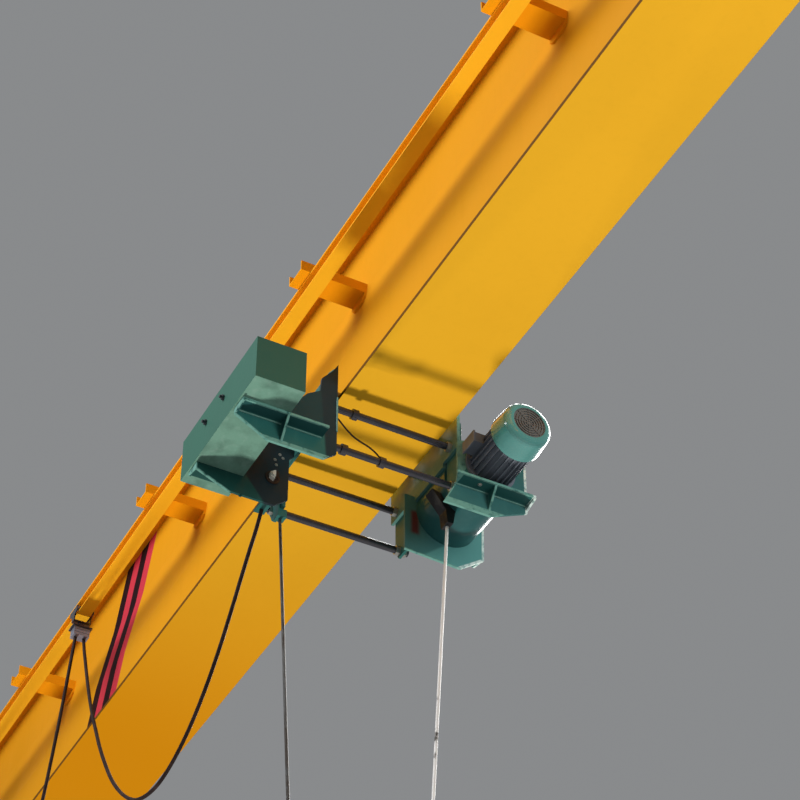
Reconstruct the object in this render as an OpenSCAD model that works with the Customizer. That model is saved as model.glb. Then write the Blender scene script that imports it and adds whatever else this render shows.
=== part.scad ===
// Single-girder overhead bridge crane with an underslung low-headroom hoist trolley.
// Millimetres, +Z up, X along the girder, Y across it. The origin is the middle of the
// girder's top face, so everything hangs below Z = 0. Heights inside the modules of the
// girder's lower half are taken from the underside of the bottom flange.

/* [Girder] */
// Number of bays between the festoon rail's arms
bays = 5; // [4:1:6]
// Length of one bay
bay = 1740; // [1500:10:2000]
// Girder length past the last arm at each end
girder_overhang = 350; // [250:10:600]
// Depth of the girder over its flanges
girder_h = 1000; // [860:10:1100]
// Width of both flanges
flange_w = 500; // [460:10:560]
// Thickness of the bottom flange
bottom_t = 20; // [16:1:25]
// Thickness of the top flange
top_t = 16; // [10:1:25]
// Thickness of the side webs
web_t = 8; // [6:1:12]
// Half width over the webs below the joggle
web_low_y = 175; // [160:1:190]
// Half width over the webs above the joggle
web_up_y = 150; // [120:1:155]
// Height of the joggle's lower bend above the underside
joggle_low_z = 365; // [300:5:420]
// Height of the joggle's upper bend above the underside
joggle_high_z = 665; // [560:5:720]

/* [End carriages] */
// Length of an end carriage
carriage_l = 2600; // [2000:50:3200]
// Width of the carriage box
carriage_w = 240; // [200:10:300]
// Depth of the carriage box
carriage_h = 320; // [280:10:400]
// Height of the carriage's underside above the girder's underside
carriage_z = 380; // [300:10:480]
// Distance of a carriage wheel's middle from the carriage's end
carriage_wheel_inset = 200; // [180:10:400]
// Diameter of a carriage wheel's tread
carriage_wheel_d = 250; // [200:10:300]

/* [Festoon rail] */
// Height of the rail arms' underside above the girder's underside
arm_z = 630; // [560:5:700]
// Distance of the rail's middle from the girder's middle
rail_y = 395; // [380:5:440]
// Width of the rail's flanges
rail_w = 70; // [60:2:90]
// Height of the rail
rail_h = 72; // [60:2:90]
// Thickness of the rail's flanges and web
rail_t = 7; // [5:1:9]
// Width of a rail arm
rail_arm_w = 124; // [90:2:140]
// Height of a rail arm
rail_arm_h = 55; // [40:1:70]
// Sheet thickness of a rail arm
rail_arm_t = 7; // [5:1:10]
// Length by which an arm runs past the rail
rail_arm_stub = 45; // [20:5:80]
// Depth of an arm's root plate below the arm's underside
rail_root_drop = 45; // [20:1:60]

/* [Trolley] */
// Place of the trolley along the girder
trolley_x = 690; // [600:10:780]
// Place of the trolley frame's middle along the trolley
frame_x = -65; // [-72:1:-58]
// Distance between the near and the far tie rods
rod_pitch = 502; // [490:1:510]
// Depth of the upper tie rods below the girder
rod_up_z = 58; // [50:1:66]
// Depth of the lower tie rods below the girder
rod_low_z = 273; // [255:1:285]
// Diameter of the tie rods
rod_d = 32; // [24:1:34]
// Distance of the side plates from the girder's middle
side_y = 288; // [284:1:292]
// Thickness of the side plates
side_t = 14; // [10:1:16]
// Distance between the trolley's wheels
wheel_base = 250; // [240:1:256]
// Diameter of the trolley wheels
wheel_d = 120; // [110:5:125]
// Width of the trolley wheels' tread
wheel_w = 46; // [36:1:50]

/* [Hoist arms] */
// Place of the near arms' web along the trolley
arm_near_x = 245; // [235:1:260]
// Place of the far arms' web along the trolley
arm_far_x = -145; // [-160:1:-130]
// Depth of the arms' top face below the girder
arm_top_z = 297; // [285:1:305]
// Depth of an arm's web
arm_h = 118; // [100:1:130]
// Depth of an arm at its outer end
arm_tip_h = 34; // [25:1:60]
// Length of an arm's taper
arm_taper = 150; // [100:5:200]
// Width of an arm's top flange past its web
arm_flange_w = 72; // [60:2:84]
// Sheet thickness of the arms
arm_t = 12; // [8:1:14]
// Reach of the counterweight arms from the girder's middle
arm_left_y = 750; // [700:5:800]
// Reach of the hoist arms from the girder's middle
arm_right_y = 628; // [610:2:680]

/* [Counterweight] */
// Length of the counterweight box
box_l = 752; // [700:4:820]
// Width of the counterweight box
box_w = 224; // [180:4:240]
// Height of the counterweight box
box_h = 217; // [180:1:240]
// Place of the box's middle along the trolley
box_x = 85; // [70:5:100]

/* [Hoist] */
// Distance of the drum's axis from the girder's middle
drum_y = 445; // [440:1:460]
// Depth of the drum's axis below the girder
drum_z = 165; // [155:1:170]
// Outer diameter of the drum housing
drum_d = 300; // [270:2:306]
// Diameter of the motor over its fins
motor_d = 216; // [190:2:220]
// Length of the motor's finned body
motor_l = 223; // [200:1:240]
// Diameter of the fan cowl
cowl_d = 240; // [232:1:248]
// Length of the fan cowl
cowl_l = 120; // [100:2:150]
// Diameter of the fan cowl's grille
grille_d = 154; // [120:2:156]

/* [Ropes and hook] */
// Diameter of the rope
rope_d = 14; // [10:1:16]
// Depth of the hook sheave's axis below the girder
sheave_z = 3400; // [3000:50:3600]
// Radius of the rope's turn round the sheave
sheave_r = 196; // [170:2:210]
// Turn of the hook block about its vertical axis
hook_twist = 50; // [40:1:60]

/* [Festoon] */
// Distance of the first cable carrier behind the trolley
carrier_1_back = 2515; // [2495:1:2535]
// Distance of the second cable carrier behind the trolley
carrier_2_back = 4200; // [4180:1:4220]
// Distance of the cables' end clamp behind the second carrier
end_clamp_back = 970; // [960:1:980]
// Diameter of the festoon cable
cable_d = 18; // [14:1:22]
// Distance between the two cables in a clamp
cable_pitch = 46; // [40:1:56]

/* [Hidden] */
$fn = 48;

girder_yellow = [0.90, 0.62, 0.10];
flange_yellow = [0.93, 0.70, 0.16];
crane_green = [0.10, 0.36, 0.33];
light_green = [0.30, 0.55, 0.46];
dark_steel = [0.13, 0.13, 0.15];
bright_steel = [0.62, 0.63, 0.65];
grip_grey = [0.42, 0.42, 0.48];
rubber_black = [0.05, 0.05, 0.05];

seat_gap = 0.3;
rope_gap = 0.6;
girder_l = bays * bay + 2 * girder_overhang;
end_plate_t = 12;

carriage_x = girder_l / 2 + end_plate_t + carriage_w / 2;
carriage_t = 10;
carriage_wheel_w = 80;
carriage_flange_d = carriage_wheel_d + 40;
carriage_axle_z = carriage_z + 60;
carriage_wheel_y = carriage_l / 2 - carriage_wheel_inset;
wheel_slot_gap = 10;
wheel_flange_t = 20;
carriage_hub_d = 70;
drive_l = 110;
drive_w = 190;
drive_low = 105;
drive_high = 75;
drive_motor_d = 160;
drive_motor_l = 220;
drive_cowl_d = 172;
drive_cowl_l = 70;
buffer_d = 120;
buffer_l = 110;

rail_inset = 60;
rail_l = girder_l - 2 * rail_inset;
rail_z = arm_z - rail_h;
rail_arm_end = rail_y + rail_w / 2 + rail_arm_stub;

root_plate_t = 10;
root_corner = 24;
stop_inset = 300;
stop_l = 80;
stop_h = 90;
stop_web_gap = 15;

side_plate_low = 97;
side_plate_up = 130;
side_plate_margin = 50;
side_plate_cut = 50;
apron = 20;
axle_d = 40;
axle_head = 30;
axle_clear = 10;
wheel_y = 215;
wheel_z = bottom_t + seat_gap + wheel_d / 2;

hanger_t = 12;
hanger_y = side_y + side_t;
hanger_up = wheel_z - axle_d / 2 - axle_clear;
hanger_low = rod_low_z + 52;
hanger_right_low = rod_low_z + 34;
hanger_near_over = 56;
hanger_far_over = 34;
hanger_far_w = 140;
hanger_corner = 26;
nut_d = 46;
nut_t = 20;
rod_end = 10;
collar_d = 48;
collar_l = 26;

flange_in = 69;
tip_plate_low = 18;
stiffener_t = 10;
stiffener_left_y = 535;
stiffener_right_y = 430;

drum_x0 = arm_far_x + arm_t / 2;
drum_x1 = arm_near_x - arm_t / 2;
drum_neck_d = 240;
drum_neck_l = 121;
lug_reach = 50;
lug_low = 45;
lug_up = 115;
gearbox_l = 110;
gearbox_y = hanger_y + hanger_t + 44;
gearbox_w = 240;
gearbox_up = 120;
box_bolt_x = [-42, 135];
box_bolt_z = 137;
box_nut_d = 26;
box_nut_t = 10;
box_stud_d = 14;
box_stud_l = 20;
motor_x = arm_near_x + arm_t / 2;
motor_flange_t = 14;
fin_h = 12;
fin_t = 4;
fin_pairs = 12;
cowl_taper = 6;
cowl_round = 34;
grille_depth = 10;
grille_rings = 6;
grille_wire = 3;
terminal_l = 90;
terminal_h = 50;
terminal_reach = 57;
terminal_place = [motor_x + 49, drum_y - motor_d / 2 - 42, -drum_z - 5];
lid_t = 8;
lid_rim = 5;

box_y = arm_left_y + 8 - box_w / 2;

box_in_y = box_y - box_w / 2;

anchor_h = 40;
anchor_t = 14;
anchor_w = 44;
anchor_up = 175;
pin_y = 400;
pin_z = 254;
pin_washer_d = 66;
pin_washer_t = 6;
rope_left_top = [-250, -hanger_y - hanger_t / 2, -hanger_low - anchor_h];
guide_w = 60;
guide_tip = 14;
rope_right_top = [40, drum_y - 97, -drum_z - 203];
hook_x = -63;
hook_y = 0;
sheave_w = 60;
sheave_bore = 50;
cheek_t = 10;
block_up = 150;
block_low = 300;
block_top_w = 90;
block_mid_w = 150;
block_low_w = 110;
yoke_h = 50;
hook_r = 80;
hook_d = 50;
shank_d = 42;
shank_l = 110;

carrier_1_x = trolley_x - carrier_1_back;
carrier_2_x = trolley_x - carrier_2_back;
clamp_x = carrier_2_x - end_clamp_back;
carrier_cheek_y = 44;
carrier_cheek_t = 6;
carrier_wheel_d = 30;
carrier_wheel_dx = 36;
carrier_wheel_w = 20;
carrier_pin_d = 10;
yoke_w = 36;
yoke_t = 6;
yoke_low = rail_z - 40;
post_w = 26;
grip_l = 56;
grip_w = 84;
grip_h = 50;
grip_low = rail_z - 130;
grip_plate_l = 72;
grip_plate_w = 104;
grip_plate_t = 8;
grip_groove = 3;
exit_x = trolley_x - 250;
exit_z = -345;

// Routes of the three festoon cables: place along the girder from the cable's near end,
// and height above the girder's underside
loop_1_route = [[0, -345], [-50, -420], [-120, -500], [-200, -600], [-295, -720], [-405, -845],
    [-530, -960], [-670, -1055], [-820, -1120], [-975, -1150], [-1120, -1135], [-1260, -1085],
    [-1390, -1000], [-1515, -890], [-1630, -765], [-1735, -625], [-1830, -485], [-1915, -340],
    [-1995, -200], [-2070, -50], [-2135, 95], [-2195, 240], [-2240, 350], [-2265, 428]];
loop_2_route = [[0, 428], [-25, 330], [-60, 190], [-100, 40], [-145, -110], [-195, -260], [-250, -405],
    [-320, -550], [-405, -690], [-505, -810], [-630, -900], [-770, -945], [-915, -945], [-1055, -900],
    [-1180, -810], [-1280, -690], [-1365, -550], [-1435, -405], [-1490, -260], [-1540, -110],
    [-1585, 40], [-1625, 190], [-1660, 330], [-1685, 428]];
loop_3_route = [[0, 428], [-15, 280], [-35, 130], [-55, -30], [-80, -190], [-105, -350], [-135, -510],
    [-175, -670], [-225, -820], [-295, -965], [-405, -1085], [-565, -1085], [-675, -965], [-745, -820],
    [-795, -670], [-835, -510], [-865, -350], [-890, -190], [-915, -30], [-935, 130], [-955, 280],
    [-970, 428]];

// Outer half width of a web at height z above the underside
function web_y(z) = z <= joggle_low_z ? web_low_y
    : z >= joggle_high_z ? web_up_y
    : web_low_y + (web_up_y - web_low_y) * (z - joggle_low_z) / (joggle_high_z - joggle_low_z);

// Children drawn with heights above the girder's underside
module from_underside() {
    translate([0, 0, -girder_h]) children();
}

module on_trolley() {
    translate([trolley_x, 0, -girder_h]) children();
}

// Left is -Y and right is +Y
module side(s) {
    mirror([0, s < 0 ? 1 : 0, 0]) children();
}

// A Y-Z outline made a bar of length l along X, centred
module along_x(l) {
    rotate([90, 0, 90]) linear_extrude(l, center = true) children();
}

// An X-Z outline made a plate from y to y + t
module plate_xz(y, t) {
    translate([0, y + t, 0]) rotate([90, 0, 0]) linear_extrude(t) children();
}

module block(x, y, z) {
    translate([x[0], y[0], z[0]]) cube([x[1] - x[0], y[1] - y[0], z[1] - z[0]]);
}

module bar_y(d, l) {
    rotate([90, 0, 0]) cylinder(d = d, h = l, center = true);
}

module bar_x(d, l) {
    rotate([0, 90, 0]) cylinder(d = d, h = l, center = true);
}

function unit(v) = v / norm(v);

// A straight rope from p to q that stops just short of both
module taut_rope(p, q) {
    v = q - p;
    translate(p + rope_gap * unit(v)) rotate([0, acos(v[2] / norm(v)), atan2(v[1], v[0])])
        cylinder(d = rope_d, h = norm(v) - 2 * rope_gap);
}

// Bridge

module girder_web(s) {
    z0 = bottom_t;
    z1 = girder_h - top_t;
    color(girder_yellow) from_underside() side(s) along_x(girder_l) polygon([
        [web_low_y, z0], [web_low_y, joggle_low_z], [web_up_y, joggle_high_z], [web_up_y, z1],
        [web_up_y - web_t, z1], [web_up_y - web_t, joggle_high_z],
        [web_low_y - web_t, joggle_low_z], [web_low_y - web_t, z0]]);
}

module girder_bottom_flange() {
    color(flange_yellow) from_underside()
        block([-girder_l / 2, girder_l / 2], [-flange_w / 2, flange_w / 2], [0, bottom_t]);
}

module girder_top_flange() {
    color(girder_yellow)
        block([-girder_l / 2, girder_l / 2], [-flange_w / 2, flange_w / 2], [-top_t, 0]);
}

module girder_end_plate(e) {
    x = e * (girder_l + end_plate_t) / 2;
    color(girder_yellow) from_underside() translate([x, 0, 0])
        block([-end_plate_t / 2, end_plate_t / 2], [-flange_w / 2, flange_w / 2], [0, girder_h]);
}

module end_carriage(e) {
    slot_x = carriage_w / 2 - carriage_t - wheel_flange_t;
    slot_y = carriage_flange_d / 2 + wheel_slot_gap;
    color(girder_yellow) from_underside() translate([e * carriage_x, 0, carriage_z]) difference() {
        block([-carriage_w / 2, carriage_w / 2], [-carriage_l / 2, carriage_l / 2], [0, carriage_h]);
        for (s = [-1, 1]) translate([0, s * carriage_wheel_y, 0])
            block([-slot_x, slot_x], [-slot_y, slot_y], [-1, carriage_axle_z - carriage_z + slot_y]);
    }
}

module carriage_wheels(e) {
    color(dark_steel) from_underside() translate([e * carriage_x, 0, carriage_axle_z])
        for (s = [-1, 1]) translate([0, s * carriage_wheel_y, 0]) {
            bar_x(carriage_wheel_d, carriage_wheel_w);
            for (f = [-1, 1]) translate([f * (carriage_wheel_w + wheel_flange_t) / 2, 0, 0])
                bar_x(carriage_flange_d, wheel_flange_t);
            bar_x(carriage_hub_d, carriage_w - 2 * (carriage_t + wheel_flange_t));
        }
}

// Gear case, motor and fan cowl outside a carriage wheel
module travel_drive(e) {
    x = e * (carriage_x + carriage_w / 2);
    color(crane_green) from_underside() translate([x, carriage_wheel_y, carriage_axle_z + carriage_hub_d])
        rotate([0, 0, e < 0 ? 180 : 0]) {
            block([0, drive_l], [-drive_w / 2, drive_w / 2], [-drive_low, drive_high]);
            translate([drive_l + drive_motor_l / 2, 0, 0]) bar_x(drive_motor_d, drive_motor_l);
            translate([drive_l + drive_motor_l + drive_cowl_l / 2, 0, 0]) bar_x(drive_cowl_d, drive_cowl_l);
        }
}

module carriage_buffers(e) {
    color(rubber_black) from_underside() translate([e * carriage_x, 0, carriage_z + carriage_h / 2])
        for (s = [-1, 1]) translate([0, s * (carriage_l + buffer_l) / 2, 0]) bar_y(buffer_d, buffer_l);
}

module festoon_rail() {
    w = rail_w / 2;
    t = rail_t;
    color(girder_yellow) from_underside() translate([0, -rail_y, rail_z]) along_x(rail_l) polygon([
        [-w, 0], [w, 0], [w, t], [t / 2, t], [t / 2, rail_h - t], [w, rail_h - t],
        [w, rail_h], [-w, rail_h], [-w, rail_h - t], [-t / 2, rail_h - t], [-t / 2, t], [-w, t]]);
}

// Side outline of a rail arm between heights z0 and z1, its root on the web
module arm_outline(z0, z1) {
    polygon([[-web_y(z0), z0], [-rail_arm_end, z0], [-rail_arm_end, z1], [-web_y(z1), z1],
        if (z1 > joggle_high_z) [-web_up_y, joggle_high_z]]);
}

// A plate on the web from z0 to z1, its lower corners cut
module root_plate(z0, z1) {
    w = rail_arm_w / 2;
    intersection() {
        along_x(rail_arm_w) polygon([[-web_y(z0), z0], [-web_y(z0) - root_plate_t, z0],
            [-web_y(joggle_high_z) - root_plate_t, joggle_high_z], [-web_y(z1) - root_plate_t, z1],
            [-web_y(z1), z1], [-web_y(joggle_high_z), joggle_high_z]]);
        plate_xz(-web_low_y - 2 * root_plate_t, 3 * root_plate_t + web_low_y - web_up_y)
            polygon([[-w, z1], [-w, z0 + root_corner], [-w + root_corner, z0],
                [w - root_corner, z0], [w, z0 + root_corner], [w, z1]]);
    }
}

module rail_arms() {
    top = arm_z + rail_arm_h;
    color(girder_yellow) from_underside() for (i = [0:bays]) translate([(i - bays / 2) * bay, 0, 0]) {
        along_x(rail_arm_w) arm_outline(arm_z, arm_z + rail_arm_t);
        for (f = [-1, 1]) translate([f * (rail_arm_w - rail_arm_t) / 2, 0, 0])
            along_x(rail_arm_t) arm_outline(arm_z, top);
        root_plate(arm_z - rail_root_drop, top);
    }
}

module trolley_stops() {
    color(girder_yellow) from_underside() for (e = [-1, 1], s = [-1, 1])
        translate([e * (girder_l / 2 - stop_inset), 0, 0]) side(s)
            block([-stop_l / 2, stop_l / 2], [web_low_y + stop_web_gap, flange_w / 2],
                [bottom_t, bottom_t + stop_h]);
}

// The block that grips the cables, with a groove round it above and below each half's bolts
module cable_grip() {
    l = grip_l / 2;
    w = grip_w / 2;
    difference() {
        block([-l, l], [-w, w], [grip_low, grip_low + grip_h]);
        for (z = [grip_low + grip_h / 3, grip_low + 2 * grip_h / 3]) difference() {
            block([-l - 1, l + 1], [-w - 1, w + 1], [z, z + grip_groove]);
            block([-l + grip_groove, l - grip_groove], [-w + grip_groove, w - grip_groove],
                [z - 1, z + grip_groove + 1]);
        }
    }
}

// The plate on the grip and the post above it, up to z1
module grip_hanger(z1) {
    z0 = grip_low + grip_h;
    block([-grip_plate_l / 2, grip_plate_l / 2], [-grip_plate_w / 2, grip_plate_w / 2],
        [z0, z0 + grip_plate_t]);
    block([-post_w / 2, post_w / 2], [-post_w / 2, post_w / 2], [z0, z1]);
}

module cable_end_clamp() {
    color(dark_steel) from_underside() translate([clamp_x, -rail_y, 0]) {
        grip_hanger(rail_z);
        cable_grip();
    }
}

// Trolley frame

function rod_x(e) = frame_x + e * rod_pitch / 2;
function axle_x(e) = frame_x + e * wheel_base / 2;

module side_plate(s) {
    x0 = rod_x(-1) - side_plate_margin;
    x1 = arm_near_x - arm_t / 2;
    low = -side_plate_low - (s > 0 ? apron : 0);
    color(crane_green) on_trolley() side(s) difference() {
        plate_xz(side_y, side_t) polygon([[x0, -side_plate_low], [drum_x0, -side_plate_low],
            [drum_x0, low], [drum_x1 - drum_neck_l, low], [drum_x1 - drum_neck_l, -side_plate_low],
            [x1, -side_plate_low], [x1, side_plate_up - 20], [x1 - side_plate_cut, side_plate_up],
            [x0 + side_plate_cut, side_plate_up], [x0, side_plate_up - side_plate_cut]]);
        for (e = [-1, 1]) {
            translate([axle_x(e), side_y + side_t / 2, wheel_z]) bar_y(axle_d + 2 * seat_gap, side_t + 2);
            translate([rod_x(e), side_y + side_t / 2, -rod_up_z]) bar_y(rod_d + 2 * seat_gap, side_t + 2);
        }
    }
}

module wheels(s) {
    color(dark_steel) on_trolley() side(s) for (e = [-1, 1]) translate([axle_x(e), 0, wheel_z]) {
        translate([0, wheel_y, 0]) bar_y(wheel_d, wheel_w);
        translate([0, (wheel_y + side_y + side_t + axle_head) / 2, 0])
            bar_y(axle_d, side_y + side_t + axle_head - wheel_y);
    }
}

// A plate outside the side plate that carries the tie rods down to the arms
module hanger(e, s) {
    x0 = e > 0 ? rod_x(1) - hanger_near_over : rod_x(-1) - hanger_far_over;
    x1 = e > 0 ? arm_near_x - arm_t / 2 : x0 + hanger_far_w;
    low = s < 0 ? -hanger_low : -hanger_right_low;
    color(crane_green) on_trolley() side(s) difference() {
        plate_xz(hanger_y, hanger_t) polygon([[x0, hanger_up], [x0, low + 2 * hanger_corner],
            [x0 + hanger_corner, low], [x1, low], [x1, hanger_up]]);
        for (z = [rod_up_z, rod_low_z]) translate([rod_x(e), hanger_y + hanger_t / 2, -z])
            bar_y(rod_d + 2 * seat_gap, hanger_t + 2);
    }
}

// Y-Z outline of the near counterweight arm: a pointed upright on the side plate's end, and the
// tapered reach below it
module arm_near_left_outline() {
    low = -arm_top_z - arm_h;
    polygon([[side_y, side_plate_up], [side_y, low + 45], [side_y + 56, low],
        [arm_left_y - arm_taper, low], [arm_left_y, -arm_top_z - arm_tip_h], [arm_left_y, -arm_top_z],
        [box_in_y - 14, -arm_top_z], [box_in_y - 14, -arm_top_z + 92], [side_y + 140, -91],
        [side_y + 82, -52], [side_y + 75, 23], [side_y + 25, side_plate_up - 45]]);
}

// Y-Z outline of the far counterweight arm: a gusset that widens down to the reach
module arm_far_left_outline() {
    low = -arm_top_z - arm_h + 17;
    polygon([[hanger_y, -10], [hanger_y, -side_plate_low], [hanger_y + 23, -side_plate_low - 23],
        [hanger_y + 23, low + 50], [hanger_y + 85, low], [arm_left_y - arm_taper, low],
        [arm_left_y, -arm_top_z - arm_tip_h], [arm_left_y, -arm_top_z], [box_in_y, -arm_top_z],
        [box_in_y, -arm_top_z + 72], [hanger_y + 148, -57], [hanger_y + 148, -10]]);
}

// Y-Z outline of the near hoist arm, which is the drum's end plate too
module arm_near_right_outline() {
    low = -arm_top_z - arm_h - 10;
    polygon([[side_y, side_plate_up - 20], [side_y, -250], [side_y - 8, -arm_top_z],
        [side_y - 70, low], [drum_y, low], [arm_right_y - 2, -arm_top_z - arm_tip_h - 12],
        [arm_right_y - 2, -90], [arm_right_y - 34, -drum_z + 125], [side_y + 52, -drum_z + 117],
        [hanger_y, -drum_z + 105], [hanger_y, side_plate_up - 20]]);
}

// Y-Z outline of the drum's far end plate, notched round the side plate
module arm_far_right_outline() {
    low = -arm_top_z - arm_h;
    polygon([[hanger_y, -drum_z + 145], [hanger_y, -side_plate_low], [side_y - 50, -side_plate_low],
        [side_y - 50, low + 15], [drum_y + 67, low], [arm_right_y + 3, -arm_top_z - arm_tip_h],
        [arm_right_y + 8, -drum_z + 34], [arm_right_y + 8, -drum_z + 105],
        [arm_right_y - 34, -drum_z + 145]]);
}

// An arm's web with a top flange, a stiffener and a tip plate on the side away from the trolley
module hoist_arm(e, s) {
    x = e > 0 ? arm_near_x : arm_far_x;
    reach = s < 0 ? arm_left_y : arm_right_y;
    skewed = e > 0 && s > 0;
    flange_x = arm_t / 2 + arm_flange_w;
    flange_z = -arm_top_z - arm_t;
    stiffener_y = s < 0 ? stiffener_left_y : stiffener_right_y;
    color(crane_green) on_trolley() side(s) translate([x, 0, 0]) {
        along_x(arm_t) {
            if (e > 0 && s < 0) arm_near_left_outline();
            if (e < 0 && s < 0) arm_far_left_outline();
            if (e > 0 && s > 0) arm_near_right_outline();
            if (e < 0 && s > 0) arm_far_right_outline();
        }
        mirror([e < 0 ? 1 : 0, 0, 0]) {
            translate([0, 0, flange_z]) linear_extrude(arm_t) polygon([
                [0, skewed ? side_y - 8 : side_y + flange_in],
                [flange_x, skewed ? side_y - 43 : side_y + flange_in], [flange_x, reach], [0, reach]]);
            plate_xz(stiffener_y, stiffener_t) polygon([[0, flange_z], [flange_x - 2, flange_z],
                [arm_t / 2, -arm_top_z - arm_h + 12], [0, -arm_top_z - arm_h + 12]]);
            plate_xz(reach - stiffener_t, stiffener_t) polygon([[0, flange_z + 1],
                [flange_x, flange_z + 1], [flange_x, -arm_top_z - tip_plate_low],
                [0, -arm_top_z - arm_tip_h]]);
        }
    }
}

module tie_rods(e) {
    l = 2 * (hanger_y + hanger_t + nut_t + rod_end);
    collars = [[-176, -rod_up_z], [-226, -rod_low_z], [-45, -rod_low_z]];
    color(dark_steel) on_trolley() translate([rod_x(e), 0, 0]) {
        for (z = [rod_up_z, rod_low_z]) translate([0, 0, -z]) bar_y(rod_d, l);
        if (e > 0) for (c = collars) translate([0, c[0], c[1]]) bar_y(collar_d, collar_l);
    }
}

module rod_nut() {
    rotate([90, 0, 0]) difference() {
        cylinder(d = nut_d, h = nut_t, center = true, $fn = 6);
        cylinder(d = rod_d + 2 * seat_gap, h = nut_t + 2, center = true);
    }
}

// A nut outside and a lock nut inside every plate that a tie rod passes through
module rod_nuts() {
    out_y = hanger_y + hanger_t + nut_t / 2;
    color(bright_steel) on_trolley() for (e = [-1, 1], s = [-1, 1]) side(s) translate([rod_x(e), 0, 0]) {
        for (z = [rod_up_z, rod_low_z]) translate([0, out_y, -z]) rod_nut();
        translate([0, side_y - nut_t / 2, -rod_up_z]) rod_nut();
        translate([0, hanger_y - nut_t / 2, -rod_low_z]) rod_nut();
    }
}

module counterweight_box() {
    color(light_green) on_trolley() translate([box_x, -box_y, -arm_top_z])
        block([-box_l / 2, box_l / 2], [-box_w / 2, box_w / 2], [0, box_h]);
}

// Ends of the through bolts that hold the counterweight plates together
module box_bolts() {
    y = -box_y - box_w / 2;
    color(dark_steel) on_trolley() for (x = box_bolt_x) translate([x, y, -arm_top_z + box_bolt_z]) {
        translate([0, -box_nut_t / 2, 0]) rotate([90, 0, 0])
            cylinder(d = box_nut_d, h = box_nut_t, center = true, $fn = 6);
        translate([0, -box_stud_l / 2, 0]) bar_y(box_stud_d, box_stud_l);
    }
}

// Hoist

module drum_housing() {
    l = drum_x1 - drum_x0 - drum_neck_l;
    color(crane_green) on_trolley() translate([0, drum_y, -drum_z]) {
        translate([drum_x0 + l / 2, 0, 0]) bar_x(drum_d, l);
        translate([(drum_x0 + l + drum_x1) / 2, 0, 0]) bar_x(drum_neck_d, drum_neck_l);
        block([drum_x0, drum_x0 + l], [hanger_y - drum_y, hanger_y - drum_y + lug_reach], [lug_low, lug_up]);
    }
}

module gearbox() {
    x = arm_far_x - arm_t / 2;
    color(crane_green) on_trolley()
        block([x - gearbox_l, x], [gearbox_y, gearbox_y + gearbox_w], [-arm_top_z, -drum_z + gearbox_up]);
}

module motor_body() {
    color(dark_steel) on_trolley() translate([motor_x, drum_y, -drum_z]) {
        translate([motor_l / 2, 0, 0]) bar_x(motor_d - 2 * fin_h, motor_l);
        translate([motor_flange_t / 2, 0, 0]) bar_x(cowl_d, motor_flange_t);
        for (k = [0 : fin_pairs - 1]) rotate([k * 180 / fin_pairs, 0, 0])
            block([0, motor_l], [-motor_d / 2, motor_d / 2], [-fin_t / 2, fin_t / 2]);
    }
}

// The motor's wiring box with its lid, on the side towards the girder
module terminal_box() {
    color(dark_steel) on_trolley() difference() {
        union() {
            translate(terminal_place) block([0, terminal_l], [0, terminal_reach], [0, terminal_h]);
            translate(terminal_place) block([-lid_rim, terminal_l + lid_rim], [-lid_t, 0],
                [-lid_rim, terminal_h + lid_rim]);
        }
        translate([motor_x + motor_l / 2, drum_y, -drum_z]) bar_x(motor_d + 2 * seat_gap, motor_l + 2);
    }
}

module motor_cowl() {
    r = cowl_d / 2;
    shoulder = r - cowl_taper;
    color(crane_green) on_trolley() translate([motor_x + motor_l, drum_y, -drum_z]) rotate([0, 90, 0])
        rotate_extrude() polygon(concat([[0, 0], [r, 0], [r, 14]],
            [for (a = [0 : 15 : 90]) [shoulder - cowl_round * (1 - cos(a)),
                cowl_l - cowl_round * (1 - sin(a))]],
            [[grille_d / 2, cowl_l], [grille_d / 2, cowl_l - grille_depth], [0, cowl_l - grille_depth]]));
}

// Rings and spokes over a plain disc in the cowl's recess
module fan_grille() {
    r = grille_d / 2 - seat_gap;
    x = motor_x + motor_l + cowl_l - grille_depth;
    color(dark_steel) on_trolley() translate([x, drum_y, -drum_z]) rotate([0, 90, 0]) {
        cylinder(r = r, h = 3);
        for (k = [1 : grille_rings]) difference() {
            cylinder(r = r * k / grille_rings, h = grille_depth - 2);
            translate([0, 0, -1]) cylinder(r = r * k / grille_rings - grille_wire, h = grille_depth);
        }
        for (a = [0 : 45 : 135]) rotate([0, 0, a])
            block([-r + grille_wire / 2, r - grille_wire / 2], [-grille_wire / 2, grille_wire / 2],
                [0, grille_depth - 3]);
    }
}

// A wedge under the drum that ends above the right rope
module rope_guide() {
    tip = rope_right_top;
    color(dark_steel) on_trolley() difference() {
        translate([tip[0], 0, 0]) along_x(guide_w) polygon([[side_y - 28, -211], [drum_y - 14, -252],
            [drum_y - 71, -300], [tip[1] + guide_tip, tip[2]], [tip[1] - guide_tip, tip[2]],
            [tip[1] - 21, -300]]);
        translate([tip[0], drum_y, -drum_z]) bar_x(drum_d + 2 * seat_gap, guide_w + 2);
    }
}

// A bar on the far hanger, with a foot under the hanger that holds the rope's end
module rope_anchor() {
    y = -hanger_y - hanger_t;
    w = anchor_w / 2;
    color(crane_green) on_trolley() translate([rope_left_top[0], y, rope_left_top[2]]) {
        block([-w - 8, w], [-anchor_t, 0], [0, anchor_up]);
        block([-w, w], [-anchor_t, 2 * rope_d], [0, anchor_h]);
    }
}

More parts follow.
